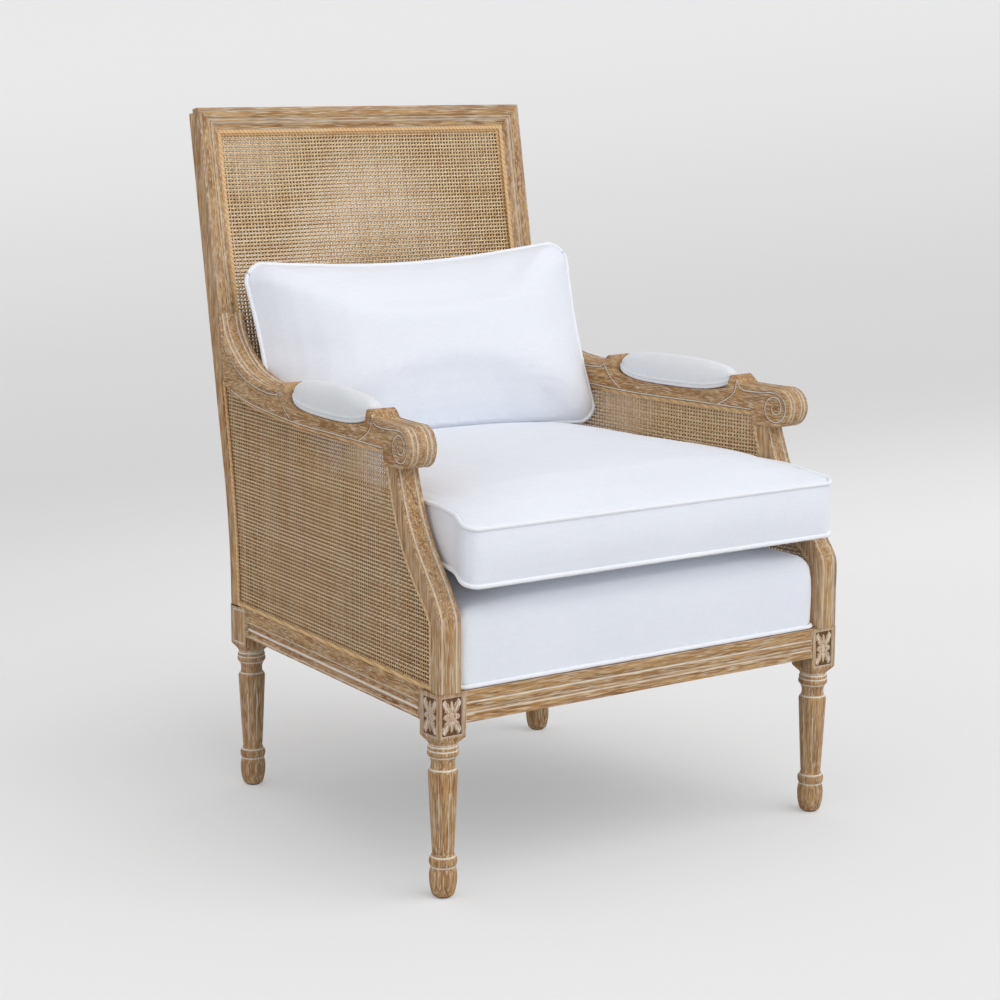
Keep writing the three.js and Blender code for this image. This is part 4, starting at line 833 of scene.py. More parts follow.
# %% [markdown]
# ## Arm supports
# Each arm stands on a support that rises straight from the front block to a knee and then sweeps back to
# the scroll. Its front is moulded over the whole length: a bead, a waxed groove, a hollow field, a groove
# and a bead. The section is carried along the support's line, square to it, and grows a little thicker in
# the sweep. Behind, a tongue between the two cane panels closes the frame.

# %% Arm supports
support_width = 34
# the small negative number at the hollow field's middle is a faint painted shade
support_section = mirrored(
    [
        (0, 1.5, 0.1), (0.4, 0.6, 0), (1.3, 0.15, 0), (2.8, 0, 0), (4.6, 0.3, 0.1), (5.6, 1.2, 0.6),
        (6.2, 2.3, 1), (6.9, 1.5, 0.7), (8, 0.8, 0.1), (12, 1.3, 0), (17, 1.5, -0.05),
    ],
    support_width,
)  # fmt: skip
behind_rows = [(support_width, 0), (support_width, 1)]
behind_rows += [(27.7, 1), (27.7, 2), (cane_rebate, 2), (cane_rebate, 1), (0, 1)]
support_rings = []
for place, back, thick in zip(support_line, support_back, support_thick[:, 0]):
    ring = [(t, place + back * d) for t, d, _ in support_section]
    reach = {0: thick - 1.6, 1: thick, 2: thick + tongue}
    ring += [(t, place + back * reach[row]) for t, row in behind_rows]
    ring.append((0, place + back * (thick - 1.6)))
    support_rings.append([side_point(t, at[0], at[1]) for t, at in ring])
edge_wax = [0, 0.7, 0.4, 0, 0, 0.4, 0.7, 0]
support_wax = np.array([*support_section[:, 2], *edge_wax])
support = make_piece("swept_arm_support_left", [skin(support_rings, support_wax)], oak_upright, angle=40)
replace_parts(support, "arm_support_left")
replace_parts(turned_over(support, "swept_arm_support_right"), "arm_support_right")
print("arm support:", len(support.data.polygons), "faces")

# %% [markdown]
# ## Armrests
# The armrest is the most skilled piece of carving on the chair. It ends in a scroll at the front, steps up
# in a square knuckle before the pad, and sweeps up to the back behind it. Two kinds of lines decorate it.
# Beads run over the top, round the front of the scroll and down the rear sweep. On both cheeks a fine
# waxed line winds into the scroll as a volute, and others follow the pad's ends and the lower edge.
# So the arm is skinned from cheek to cheek: every ring is the arm's outline, drawn in a little where a
# bead's groove runs. The lines on the cheeks are cut as flat channels along their paths, whose walls are
# painted dark brown as painted shade, and a strip of wax lies half a millimetre down in each.

# %% The arm's outline
arm_width, arm_proud = 42, 5
knuckle_front, knuckle_rear = scroll_setback + 90, 0.6897 * frame_depth
knuckle_top, knuckle_back = scroll_height + 40, scroll_height + 46
arm_end_top = scroll_height + 128
pad_seat_height = scroll_height + 11


def arm_end(height):
    return float(back_setback(height, 0)) - gap


def pad_seat(setback):
    share = (setback - knuckle_front) / (knuckle_rear - knuckle_front)
    return pad_seat_height + 12 * np.abs(2 * share - 1) ** 3


under_line = np.array([p for p in under_arm if p[0] < arm_end(p[1]) - 0.5])
turns = np.linspace(-math.pi / 2, -3 * math.pi / 2, 33)
scroll = joined(scroll_setback + scroll_radius * np.cos(turns), scroll_height + scroll_radius * np.sin(turns))
scroll_top = scroll_height + scroll_radius
step_at = knuckle_front - 18
front_top = through(
    [
        (scroll_setback + 4, scroll_top), (scroll_setback + 26, scroll_top - 0.4),
        (step_at - 10, scroll_top), (step_at - 0.4, scroll_top + 0.6),
    ],
    4,
)  # fmt: skip
front_rise = [(0, 1.2), (3.5, 4.1)]
front_head = [(-10, -3.4), (-6, -0.8), (-2.5, 0.2), (0.4, -0.6), (2.2, -3.4)]
knuckle = np.array(
    [
        *((step_at + along, scroll_top + up) for along, up in front_rise),
        *((knuckle_front + along, knuckle_top + up) for along, up in front_head),
        *((knuckle_front + along, pad_seat(knuckle_front + along) + up) for along, up in ((4, 8), (6, 1.6))),
    ]
)
seat_marks = np.linspace(knuckle_front + 9, knuckle_rear - 9, 18)
seat_line = joined(seat_marks, pad_seat(seat_marks))
sweep_run, sweep_lift = arm_end(arm_end_top) - knuckle_rear, arm_end_top - knuckle_back
sweep_shares = [
    (0.087, -0.12), (0.17, -0.14), (0.27, -0.14), (0.45, -0.085), (0.633, 0.037), (0.789, 0.244),
    (0.904, 0.488), (0.968, 0.73), (1, 1),
]  # fmt: skip
rear_head = [(-2, -8), (-0.6, -2), (1, -0.2), (4.6, 0), (8, -0.6), (10.6, -2.6), (14, -6)]
rear_knuckle = np.array(
    [
        (knuckle_rear - 6, pad_seat(knuckle_rear - 6) + 1.5),
        (knuckle_rear - 4.4, pad_seat(knuckle_rear) + 9),
        *((knuckle_rear + along, knuckle_back + up) for along, up in rear_head),
    ]
)
rear_sweep = through(
    [(knuckle_rear + 15.5, knuckle_back - 7.6)]
    + [(knuckle_rear + a * sweep_run, knuckle_back + u * sweep_lift) for a, u in sweep_shares],
    6,
)
foot = scroll_setback + 44
arm_parts = [
    ("end", np.array([(arm_end(under_line[0][1]), under_line[0][1])])),
    ("low", under_line),
    ("low", np.array([(foot, opening_top), (foot, scroll_height - scroll_radius)])),
    ("bead", scroll),
    ("bead", front_top),
    ("plain", knuckle),
    ("plain", seat_line),
    ("plain", rear_knuckle),
    ("bead", rear_sweep),
]
arm_outline = np.vstack([part for _, part in arm_parts])
kinds = np.concatenate([[kind] * len(part) for kind, part in arm_parts])
arm_bead = (kinds == "bead").astype(float)
arm_round = np.isin(kinds, ("bead", "plain")).astype(float)
print("arm outline:", len(arm_outline), "points,", round(float(np.ptp(arm_outline[:, 0]))), "mm long")

# %% The arm's body and the lines on its cheeks
bead_section = mirrored(
    [
        (0, 1.5, 0.1), (0.5, 0.6, 0), (1.6, 0.1, 0), (3.4, 0, 0), (5.4, 0.3, 0.1), (6.4, 1.2, 0.7),
        (7, 2.2, 1), (7.7, 1.3, 0.6), (8.6, 0.7, 0.1), (12.2, 0.2, 0), (13.2, 0.9, 0.6),
        (13.8, 1.4, 0.9), (14.4, 0.8, 0.4), (15.6, 0.2, 0), (21, 0, 0),
    ],
    arm_width,
)  # fmt: skip
arm_rings, arm_wax = [], []
for across, depth, wax in bead_section:
    edge = min(across, arm_width - across)
    rounding = max(1.4 - edge, 0) * 0.8
    distance = depth * arm_bead + rounding * (1 - arm_bead) * (0.35 + 0.65 * arm_round)
    arm_rings.append(side_point(across - arm_proud, *inset(arm_outline, distance).T))
    arm_wax.append(wax * arm_bead)
arm_body = skin(arm_rings, np.array(arm_wax))


def channel(path, cheek, width, low, high, liming):
    """A flat strip along a path on a cheek, between two depths below that cheek."""
    path = np.asarray(path, float)
    across = crosswise(unit(np.gradient(path, axis=0))) * width / 2
    way = 1 if cheek < arm_width / 2 - arm_proud else -1
    corners = [(-1, low), (1, low), (1, high), (-1, high)]
    rings = [side_point(cheek + way * depth, *(path + across * side).T) for side, depth in corners]
    return skin(np.stack(rings, 1), liming)


volute_end, volute_radii = 3.8 * math.pi, [21.6, 20.4, 3.6]
volute_turns = np.linspace(0, volute_end, 90)
volute_reach = np.interp(volute_turns, [0, 1.3 * math.pi, volute_end], volute_radii)
volute = joined(
    scroll_setback + volute_reach * np.cos(math.pi / 2 + volute_turns),
    scroll_height + volute_reach * np.sin(math.pi / 2 + volute_turns),
)
lead_in = [
    (step_at + 4, knuckle_top - 6), (step_at - 6, scroll_top - 7.5),
    (scroll_setback + 32, scroll_top - 8.2), (scroll_setback + 10, scroll_height + 22.2),
]  # fmt: skip
front_fillet = [
    (knuckle_front - 13, knuckle_top - 7), (knuckle_front - 9, scroll_height + 16),
    (knuckle_front + 6, scroll_height + 4), (knuckle_front + 28, scroll_height - 7),
]  # fmt: skip
rear_fillet = [
    (knuckle_rear + 17, knuckle_back - 14), (knuckle_rear + 7, scroll_height + 17),
    (knuckle_rear - 5, scroll_height + 6), (knuckle_rear - 20, scroll_height - 3),
]  # fmt: skip
sweep_inner = inset(arm_outline, 8.8)[-len(rear_sweep) :]
sweep_line = [p for p in sweep_inner if knuckle_rear + 26 < p[0] < arm_end(p[1]) - 7]
lower = np.array([p for p in under_line if p[0] < arm_end(p[1]) - 12])
cheek_lines = [
    even(np.vstack([through(lead_in, 6), volute]), 150),
    even(through(front_fillet, 6), 24),
    even(through(rear_fillet, 6), 22),
    even([(knuckle_rear + 17, knuckle_back - 14.6), *sweep_line], 40),
    even(np.vstack([lower + (0, 2.6), [(foot + 3, opening_top + 2.6)]]), 44),
]
arm = make_piece("scrolled_armrest_left", [arm_body], oak_deep, angle=38)
cheeks = (-arm_proud, arm_width - arm_proud)
for cheek in cheeks:
    for path in cheek_lines:
        # the cutters carry -1, so the channel walls are painted dark brown: painted shade in the grooves
        cut_away(arm, [channel(path, cheek, width=3.0, low=-1, high=1.4, liming=-1)], "MANIFOLD")
shade(arm.data, 38)
wax_shells = [
    channel(path, cheek, width=1.7, low=0.7, high=1.5, liming=0.8)
    for cheek in cheeks
    for path in cheek_lines
]
wax_lines = make_piece("arm_wax_lines_left", wax_shells, oak_deep)
turned_over(wax_lines, "arm_wax_lines_right")
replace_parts(arm, "armrest_left")
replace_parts(turned_over(arm, "scrolled_armrest_right"), "armrest_right")
print("armrest:", len(arm.data.polygons), "faces,", len(cheek_lines), "waxed lines on a cheek")

# %% [markdown]
# ## Woven cane
# Each panel is a plain square weave: every strand passes over one neighbour and under the next, so its
# height changes sign at each crossing. A strand is a thin three-sided bar, made row by row with numpy for
# both directions at once, and cut off where the panel's outline ends. The panels are double, inside and
# outside, so that both sides of the chair show the good face. They tuck under the splines at their edges.

# %% Cane panels
strand_rise, strand_body, cane_wander = 0.35, 0.5, 1.5
cane_tuck, edging_width = spline_width - 2.6, 6.5
front_cane, rear_cane, outer_cane, inner_cane = 11.1, 28.6, 4.8, 29.2
random = np.random.default_rng(7)


def spans(outline, axis, value):
    """Where a line at one value of an axis runs inside an outline."""
    a, b = outline, np.roll(outline, -1, axis=0)
    crossing = (a[:, axis] > value) != (b[:, axis] > value)
    a, b = a[crossing], b[crossing]
    share = (value - a[:, axis]) / (b[:, axis] - a[:, axis])
    ends = np.sort(a[:, 1 - axis] + share * (b[:, 1 - axis] - a[:, 1 - axis]))
    return ends.reshape(-1, 2)


def woven(name, outline, place, pitches, widths):
    outline = np.asarray(outline, float)
    low = outline.min(0)
    points, faces, tones, total = [], [], [], 0
    for axis in (0, 1):
        pitch, cross = pitches[axis], pitches[1 - axis]
        lines = np.arange(low[axis] + pitch * 0.5, outline[:, axis].max(), pitch)
        for row, value in enumerate(lines):
            tone = random.uniform(0.3, 0.85)
            middle = value + random.normal(0, 0.09)
            for begin, end in spans(outline, axis, value):
                if end - begin < cross:
                    continue
                start = low[1 - axis] + cross * 0.5
                count = math.ceil((begin - start) / cross)
                marks = np.arange(start + count * cross, end, cross)
                column = np.arange(count, count + len(marks))
                rise = np.where((row + column + axis) % 2 == 0, 1.0, -1.0) * strand_rise
                marks, rise = np.array([begin, *marks, end]), np.array([0, *rise, 0])
                rings = []
                for side, lift in ((-1, 0), (1, 0), (0, strand_body)):
                    across = np.full(len(marks), middle + side * widths[axis] / 2)
                    pair = (across, marks) if axis == 0 else (marks, across)
                    rings.append(place(*pair, rise + lift - strand_body * 0.3))
                strand_points, strand_faces, _ = skin(np.stack(rings, 1), capped=False)
                points.append(strand_points)
                faces.append(np.array(strand_faces) + total)
                # the back point of each strand gets tone -1: painted shade on its back and sides, which
                # darkens the holes
                tones.append(np.tile([tone, tone, -1.0], len(marks)))
                total += len(strand_points)
    mesh = bpy.data.meshes.new(name)
    mesh.from_pydata(to_row(np.vstack(points)).tolist(), [], np.vstack(faces).tolist())
    give(mesh, "tone", np.concatenate(tones))
    mesh.materials.append(cane_skin)
    mesh.shade_smooth()
    panel = put(name, mesh)
    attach(panel, "frame")
    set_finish(panel, "woven_cane")
    return panel


def edging(name, outline, place):
    """The flat band along a panel's edge, where the strands are pressed together and hold no holes."""
    band = [(-0.8, 0.6), (0.9, -1.0), (edging_width - 1, -1.0), (edging_width, 0.5)]
    rings = np.stack([place(*inset(outline, reach).T, depth) for reach, depth in band], 1)
    return make_piece(name, [skin(rings, loop=True)], reed, slot="woven_cane")


def slack(u, v):
    """Hand-stretched cane never lies quite square, so one layer of each pair wanders a little."""
    return u + cane_wander * np.sin(v / 83 + 0.6), v + cane_wander * np.sin(u / 71 + 1.2)


def back_front(u, v, d):
    return back_point(u, v, front_cane + d)


def back_rear(u, v, d):
    return back_point(u, v, rear_cane - d)


across, low, high = back_inner - cane_tuck, back_low + cane_tuck, back_high - cane_tuck
back_outline = np.array([(-across, low), (across, low), (across, high), (-across, high)])
side_outline = inset(opening, cane_tuck)
front_panel = woven(
    "woven_back_front", back_outline, back_front, pitches=(5.6, 5.49), widths=(2.8, 2.9)
)
rear_panel = woven(
    "woven_back_rear",
    back_outline,
    lambda u, v, d: back_rear(*slack(u, v), d),
    pitches=(5.66, 5.44),
    widths=(2.4, 2.4),
)
edging("cane_edging_back_front", back_outline, back_front)
edging("cane_edging_back_rear", back_outline, back_rear)
outer_panel = woven(
    "woven_side_outer_left",
    side_outline,
    lambda u, v, d: side_point(outer_cane + d, u, v),
    pitches=(6.1, 5.43),
    widths=(2.0, 2.7),
)
inner_panel = woven(
    "woven_side_inner_left",
    side_outline,
    lambda u, v, d: side_point(inner_cane - d, *slack(u, v)),
    pitches=(6.0, 5.5),
    widths=(3.7, 3.5),
)
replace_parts(front_panel, "back_cane_front")
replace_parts(rear_panel, "back_cane_rear")
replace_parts(outer_panel, "side_cane_outer_left")
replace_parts(inner_panel, "side_cane_inner_left")
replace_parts(turned_over(outer_panel, "woven_side_outer_right"), "side_cane_outer_right")
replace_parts(turned_over(inner_panel, "woven_side_inner_right"), "side_cane_inner_right")
print("cane:", len(front_panel.data.polygons), "and", len(outer_panel.data.polygons), "faces")

# %% [markdown]
# ## Parts kept from the CAD model
# The plain parts are shown as they are: the back's rails, the rear rail, the splines and what is hidden
# under the seat. They get their materials and softened edges.

# %% Materials for the kept parts
def plain(name, grain, patch_colours, rough):
    """One colour in cloudy patches over another."""
    material = bpy.data.materials.new(name)
    node = emptied(material)
    along = node("Mapping", {"Vector": node("TexCoord", {}, "Object"), "Scale": grain})
    patch = node("TexNoise", {"Vector": along, "Scale": 120.0, "Detail": 4.0})
    colour = node("Mix", {0: patch, 6: patch_colours[0], 7: patch_colours[1]}, 2, data_type="RGBA")
    node("OutputMaterial", {"Surface": node("BsdfPrincipled", {"Base Color": colour, "Roughness": rough})})
    return material


beech = plain("planed_beech", (1, 0.08, 1), ("#C79A6B", "#DDB78A"), 0.8)
jute = plain("jute_webbing", (1, 1, 1), ("#9C8458", "#C2AA7B"), 0.95)
cambric = plain("black_cambric", (1, 1, 1), ("#232323", "#323232"), 0.95)
felt = plain("wool_felt", (1, 1, 1), ("#6E675D", "#857D72"), 0.98)


def node_object(name):
    return next(o for o in bpy.data.objects if o.get("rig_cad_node") == name or o.name == name)


node_names = list(frame["nodes"])
back_rails = ("crest_rail", "back_lower_rail", "rear_seat_rail", "back_face_lower_rail")
for words, material, edge_width in (
    (back_rails, oak_across, 0.8),
    (("spline",), reed, 1.1),
    (("corner_",), beech, 0.6),
    (("seat_webbing",), jute, 0),
    (("dust_cover",), cambric, 0),
    (("glide",), felt, 0.6),
):
    for name in node_names:
        if not any(word in name for word in words):
            continue
        piece = node_object(name)
        piece.data.materials.clear()
        piece.data.materials.append(material)
        if edge_width:
            bevel = piece.modifiers.new("eased_edges", "BEVEL")
            bevel.width, bevel.segments, bevel.limit_method = edge_width * 0.001, 2, "ANGLE"
            bevel.angle_limit, bevel.harden_normals = math.radians(40), False
print("kept:", [name for name in node_names if not node_object(name).hide_render])

# %% [markdown]
# ## Upholstery: the shapes
# The sprung deck, the loose box cushion, the pillow and the arm pads are sewn covers over a filling. Each
# starts as a crowned form drawn in between its corners. The seams come first, as lines, because the
# covers are cut to them: the filling can push the cloth out anywhere but there.

# %% Outlines of the seat
welt_radius = 3.2
support_clear = 34


def inner_half(depth, clearance):
    inward = (support_clear + clearance) / side_cos
    return front_width / 2 - inward - np.asarray(depth) * math.tan(side_taper)


def seat_outline(front, rear, clearance, radius, side_steps=70, corner_steps=9):
    corners = np.array(
        [
            (-inner_half(front, clearance), front), (inner_half(front, clearance), front),
            (inner_half(rear, clearance), rear), (-inner_half(rear, clearance), rear),
        ]
    )  # fmt: skip
    points, normals = [], []
    for i, corner in enumerate(corners):
        before, after = unit(corner - corners[i - 1]), unit(corners[(i + 1) % 4] - corner)
        normal_a, normal_b = -crosswise(before), -crosswise(after)
        middle = unit(normal_a + normal_b)
        centre = corner - middle * radius / (middle @ normal_a)
        for share in np.linspace(0, 1, corner_steps):
            normals.append(unit(normal_a * (1 - share) + normal_b * share))
            points.append(centre + normals[-1] * radius)
        start, stop = centre + normal_b * radius, corners[(i + 1) % 4] - after * radius
        for step in range(1, side_steps):
            points.append(start + (stop - start) * step / side_steps)
            normals.append(normal_b)
    return np.array(points), np.array(normals)


def flat_ring(outline, share, outset, height):
    points, normals = outline
    middle = points.mean(0)
    place = (points + normals * outset - middle) * share + middle
    return np.column_stack([place, height(place[:, 0], place[:, 1])])


def crown(x, y, front, rear, clearance):
    across = np.minimum(np.abs(x) / inner_half(y, clearance), 1)
    along = np.minimum(np.abs((2 * y - front - rear) / (rear - front)), 1)
    return (1 - across**3) * (1 - along**3)


deck_front, deck_rear, deck_bottom, deck_high, deck_crown = 6, frame_depth - 50, 283.2, 387.2, 34
cushion_front, cushion_rear, cushion_clear = -24, frame_depth - 52, 7.8
cushion_bottom, cushion_wall, cushion_droop, cushion_crown = 438, 80, 17, 26


def deck_top(x, y):
    return deck_high + deck_crown * crown(x, y, deck_front, deck_rear, 0.8)


def droop(y):
    reach = np.clip((block_size * 2 - y) / (block_size * 2 - cushion_front), 0, 1)
    return cushion_droop * reach * reach


def cushion_low(x, y):
    sag = cushion_crown * crown(x, y, cushion_front, cushion_rear, cushion_clear)
    return np.maximum(cushion_bottom - droop(y) - sag, deck_top(x, y) + 3 * gap)


def cushion_high(x, y):
    swell = cushion_crown * crown(x, y, cushion_front, cushion_rear, cushion_clear)
    return cushion_bottom + cushion_wall - droop(y) + swell


def edge_at(share, lift=0):
    return lambda x, y: cushion_bottom - droop(y) + cushion_wall * share + lift


deck_outline = seat_outline(deck_front, deck_rear, 2.4, 13)
cushion_outline = seat_outline(cushion_front, cushion_rear, cushion_clear, 16)
cushion_points = cushion_outline[0]
flare = 9 * smoothstep(30 - cushion_points[:, 1], 0, 40)
cushion_points[:, 0] += np.sign(cushion_points[:, 0]) * flare * (np.abs(cushion_points[:, 0]) > 250)
deck_rings = [flat_ring(deck_outline, share, 0, lambda x, y: deck_bottom + 0 * x) for share in (0.5, 0.9, 1)]
deck_rings += [
    flat_ring(deck_outline, 1, outset, lambda x, y, h=height: h + 0 * x)
    for outset, height in [(0.6, 288), (1.0, 310), (1.2, 335), (0.4, 358), (-3, 374), (-9, 383)]
]
deck_rings += [flat_ring(deck_outline, share, -16, deck_top) for share in (1, 0.85, 0.65, 0.4, 0.15)]
cushion_rings = [flat_ring(cushion_outline, share, 0, cushion_low) for share in (0.15, 0.4, 0.7, 0.9)]
cushion_rings += [flat_ring(cushion_outline, 1, -7, cushion_low)]
cushion_rings += [
    flat_ring(cushion_outline, 1, outset, edge_at(share))
    for outset, share in [(-1, 0.01), (0.4, 0.08), (1.6, 0.3), (2, 0.5), (1.6, 0.7), (0.4, 0.92), (-1, 0.99)]
]
cushion_rings += [flat_ring(cushion_outline, 1, -6, cushion_high)]
cushion_rings += [
    flat_ring(cushion_outline, share, 0, cushion_high) for share in (0.94, 0.85, 0.68, 0.45, 0.2)
]
print("seat outlines of", len(cushion_outline[0]), "points")

# %% The pillow's outline and place
pillow_width, pillow_height, pillow_thick = 544, 288, 142
pillow_turn, pillow_lean, pillow_roll = math.radians(8.7), math.radians(20), math.radians(1.8)
pillow_across, pillow_depth = 5, frame_depth - 85
pillow_corner, top_draw, other_draw = 26, 16, 7


def pillow_outline():
    a, b = pillow_width / 2, pillow_height / 2
    corners = np.array([(-a, -b), (a, -b), (a, b), (-a, b)])
    line = []
    for i, corner in enumerate(corners):
        after = corners[(i + 1) % 4]
        along = unit(after - corner)
        outward = -crosswise(along)
        start, stop = corner + along * pillow_corner, after - along * pillow_corner
        draw = top_draw if i == 2 else other_draw
        for share in np.linspace(0, 1, 70):
            bow = math.sin(math.pi * share)
            line.append(start + (stop - start) * share - outward * draw * bow)
        following = unit(corners[(i + 2) % 4] - after)
        finish = after + following * pillow_corner
        bend = after + (following - along) * pillow_corner * 0.22
        for share in np.linspace(0, 1, 10)[1:-1]:
            first = stop + (bend - stop) * share
            second = bend + (finish - bend) * share
            line.append(first + (second - first) * share)
    return np.array(line)


pillow_place = np.array(
    Matrix.Rotation(-pillow_turn, 3, "Z")
    @ Matrix.Rotation(-pillow_lean, 3, "X")
    @ Matrix.Rotation(-pillow_roll, 3, "Y")
)
pillow_seat = float(cushion_high(pillow_across, pillow_depth - pillow_height * 0.17))
pillow_centre = np.array(
    [pillow_across, pillow_depth, pillow_seat + (pillow_height / 2 - 7) * math.cos(pillow_lean)]
)


arm_inside, above_arms = 37, 14


def settled(points):
    """Pillow points put in place, kept off the cushion, the back and the arms."""
    world = np.asarray(points) @ pillow_place.T + pillow_centre
    world[:, 2] = np.maximum(world[:, 2], cushion_high(world[:, 0], world[:, 1]) + 2 * gap)
    world[:, 1] = np.minimum(world[:, 1], back_point(0, world[:, 2], 0)[:, 1] - 4 * gap)
    side = front_width / 2 - arm_inside / side_cos - world[:, 1] * math.tan(side_taper) - 4 * gap
    side += above_arms * smoothstep(world[:, 2], 640, 680)
    world[:, 0] = np.clip(world[:, 0], -side, side)
    return world


pillow_line = pillow_outline()


def pillow_ring(share, bulge):
    at = pillow_line * share
    return settled(np.column_stack([at[:, 0], np.full(len(at), bulge * pillow_thick / 2), at[:, 1]]))


pillow_steps = [
    (0.985, 0.08), (0.95, 0.24), (0.9, 0.4), (0.82, 0.58), (0.7, 0.76), (0.55, 0.9), (0.38, 0.97),
    (0.2, 1.0), (0.06, 1.0),
]  # fmt: skip
pillow_seam = pillow_ring(1, 0)
pillow_rings = [pillow_ring(s, -b) for s, b in pillow_steps[::-1]]
pillow_rings += [pillow_seam] + [pillow_ring(s, b) for s, b in pillow_steps]
print("pillow centre at", [round(float(v)) for v in pillow_centre])

# %% The arm pads' shape
pad_length = knuckle_rear - knuckle_front - 12.6
pad_middle, pad_across = (knuckle_front + knuckle_rear) / 2, 16 + welt_radius


def pad_ring(end, side, lift, steps=160):
    """The pad's oval, drawn in by an amount at its ends and its sides, and lifted off the wood."""
    angle = np.linspace(0, 2 * math.pi, steps, endpoint=False)
    along = np.sign(np.cos(angle)) * np.abs(np.cos(angle)) ** 0.62
    across = np.sign(np.sin(angle)) * np.abs(np.sin(angle)) ** 0.62
    setback = pad_middle + along * (pad_length / 2 - end)
    share = np.abs(setback - pad_middle) / (pad_length / 2)
    up = lift / pad_crown
    height = pad_seat(setback) * (1 - up) + (pad_seat_height - 7 * share**2.5) * up + lift
    height = height + 8 * share**8 * (1 - up) * smoothstep(lift, 0, 4) + gap
    return side_point(16 + across * (pad_across - side), setback, height)


pad_crown = 46
pad_steps = [
    (60, 10, 0), (8, 2.6, 0), (4, 1.6, 1), (2.5, 1, 8), (1.5, 0, 14), (2, 0, 21), (4, 1.2, 28), (7.5, 3, 34),
    (12, 6, 39), (19, 9.6, 43), (32, 13.5, 45.4), (55, 16.6, 46), (85, 18, 46), (108, 18.8, 46),
]  # fmt: skip
pad_rings = [pad_ring(*step) for step in pad_steps]
print("arm pads of", round(pad_length), "mm")

# %% [markdown]
# ## Upholstery: the filling
# A cover is remeshed into even squares, and then Blender's cloth blows it up against its own seams with
# gravity off. The cloth is cut a little larger than the filling, so it gathers into soft puckers where a
# seam holds it. Points near a seam are pinned. The movement is then evened out between neighbours, which
# keeps the broad folds and takes out sharp creases. No point may stand further from where it started than
# its cap, which is small wherever the piece touches its neighbours.


# %% Blowing up a cover
evening_rounds, calm, cloth_frames = 24, 0.65, 20


def rounded(piece):
    smooth = piece.modifiers.new("smooth", "SUBSURF")
    smooth.levels = smooth.render_levels = 1


def blown_up(piece, start, pinned):
    """The points of a cover after the filling has pushed it out for a few frames."""
    group = piece.vertex_groups.new(name="pinned")
    for index, weight in enumerate(pinned):
        if weight > 0.02:
            group.add([index], float(weight), "ADD")
    cloth = piece.modifiers.new("cloth", "CLOTH")
    for name, value in {
        "vertex_group_mass": "pinned", "use_pressure": True, "uniform_pressure_force": 4.0,
        "shrink_min": -0.03, "quality": 4, "tension_stiffness": 22, "compression_stiffness": 22,
        "bending_stiffness": 0.25, "mass": 0.25,
    }.items():  # fmt: skip
        setattr(cloth.settings, name, value)
    cloth.settings.effector_weights.gravity = 0
    cloth.collision_settings.use_collision = False
    cloth.point_cache.frame_end = cloth_frames
    for frame_number in range(1, cloth_frames + 1):
        bpy.context.scene.frame_set(frame_number)
    graph = bpy.context.evaluated_depsgraph_get()
    moved = read_points(piece.evaluated_get(graph).to_mesh())
    piece.modifiers.clear()
    bpy.context.scene.frame_set(1)
    return moved


def stuffed(name, rings, body, slot, material, seams, voxel, cap):
    piece = make_piece(name, [skin(rings)], material, body, slot, angle=180)
    remesh = piece.modifiers.new("even", "REMESH")
    remesh.mode, remesh.voxel_size = "VOXEL", voxel * 0.001
    mesh = baked(piece)
    start = read_points(mesh)
    limit = cap(start)
    pinned = (limit < 0.0006).astype(float)
    if seams:
        near = nearest(start, to_row(np.vstack(seams)))
        pinned = np.maximum(np.clip(1.6 - near / (voxel * 0.0011), 0, 1), pinned)
    step = held_back(blown_up(piece, start, pinned) - start, limit)
    step = held_back(evened(mesh, step, evening_rounds) * calm, limit)
    mesh.vertices.foreach_set("co", (start + step).ravel())
    mesh.materials.clear()
    mesh.materials.append(material)
    mesh.shade_smooth()
    rounded(piece)
    most = np.linalg.norm(read_points(mesh) - start, axis=1).max() * 1000
    print(name, len(start), "points, moved by up to", round(float(most), 1), "mm")
    return piece


def held_back(step, limit):
    reach = np.linalg.norm(step, axis=1)
    return step * np.minimum(1, limit / np.maximum(reach, 1e-9))[:, None]


def evened(mesh, values, rounds):
    """Averages each point with its neighbours, which leaves the broad folds and takes out sharp creases."""
    ends = np.empty(len(mesh.edges) * 2, np.int32)
    mesh.edges.foreach_get("vertices", ends)
    a, b = ends.reshape(-1, 2).T
    count = np.maximum(np.bincount(ends, minlength=len(values)), 1)[:, None]
    for _ in range(rounds):
        total = np.zeros_like(values)
        np.add.at(total, a, values[b])
        np.add.at(total, b, values[a])
        values = (values + total / count) / 2
    return values


def read_points(mesh):
    flat = np.empty(len(mesh.vertices) * 3)
    mesh.vertices.foreach_get("co", flat)
    return flat.reshape(-1, 3)


def nearest(points, targets):
    found = np.full(len(points), 1.0)
    for begin in range(0, len(targets), 200):
        part = targets[begin : begin + 200]
        for chunk in range(0, len(points), 4000):
            some = points[chunk : chunk + 4000]
            away = np.sqrt(((some[:, None] - part[None]) ** 2).sum(2)).min(1)
            found[chunk : chunk + 4000] = np.minimum(found[chunk : chunk + 4000], away)
    return found


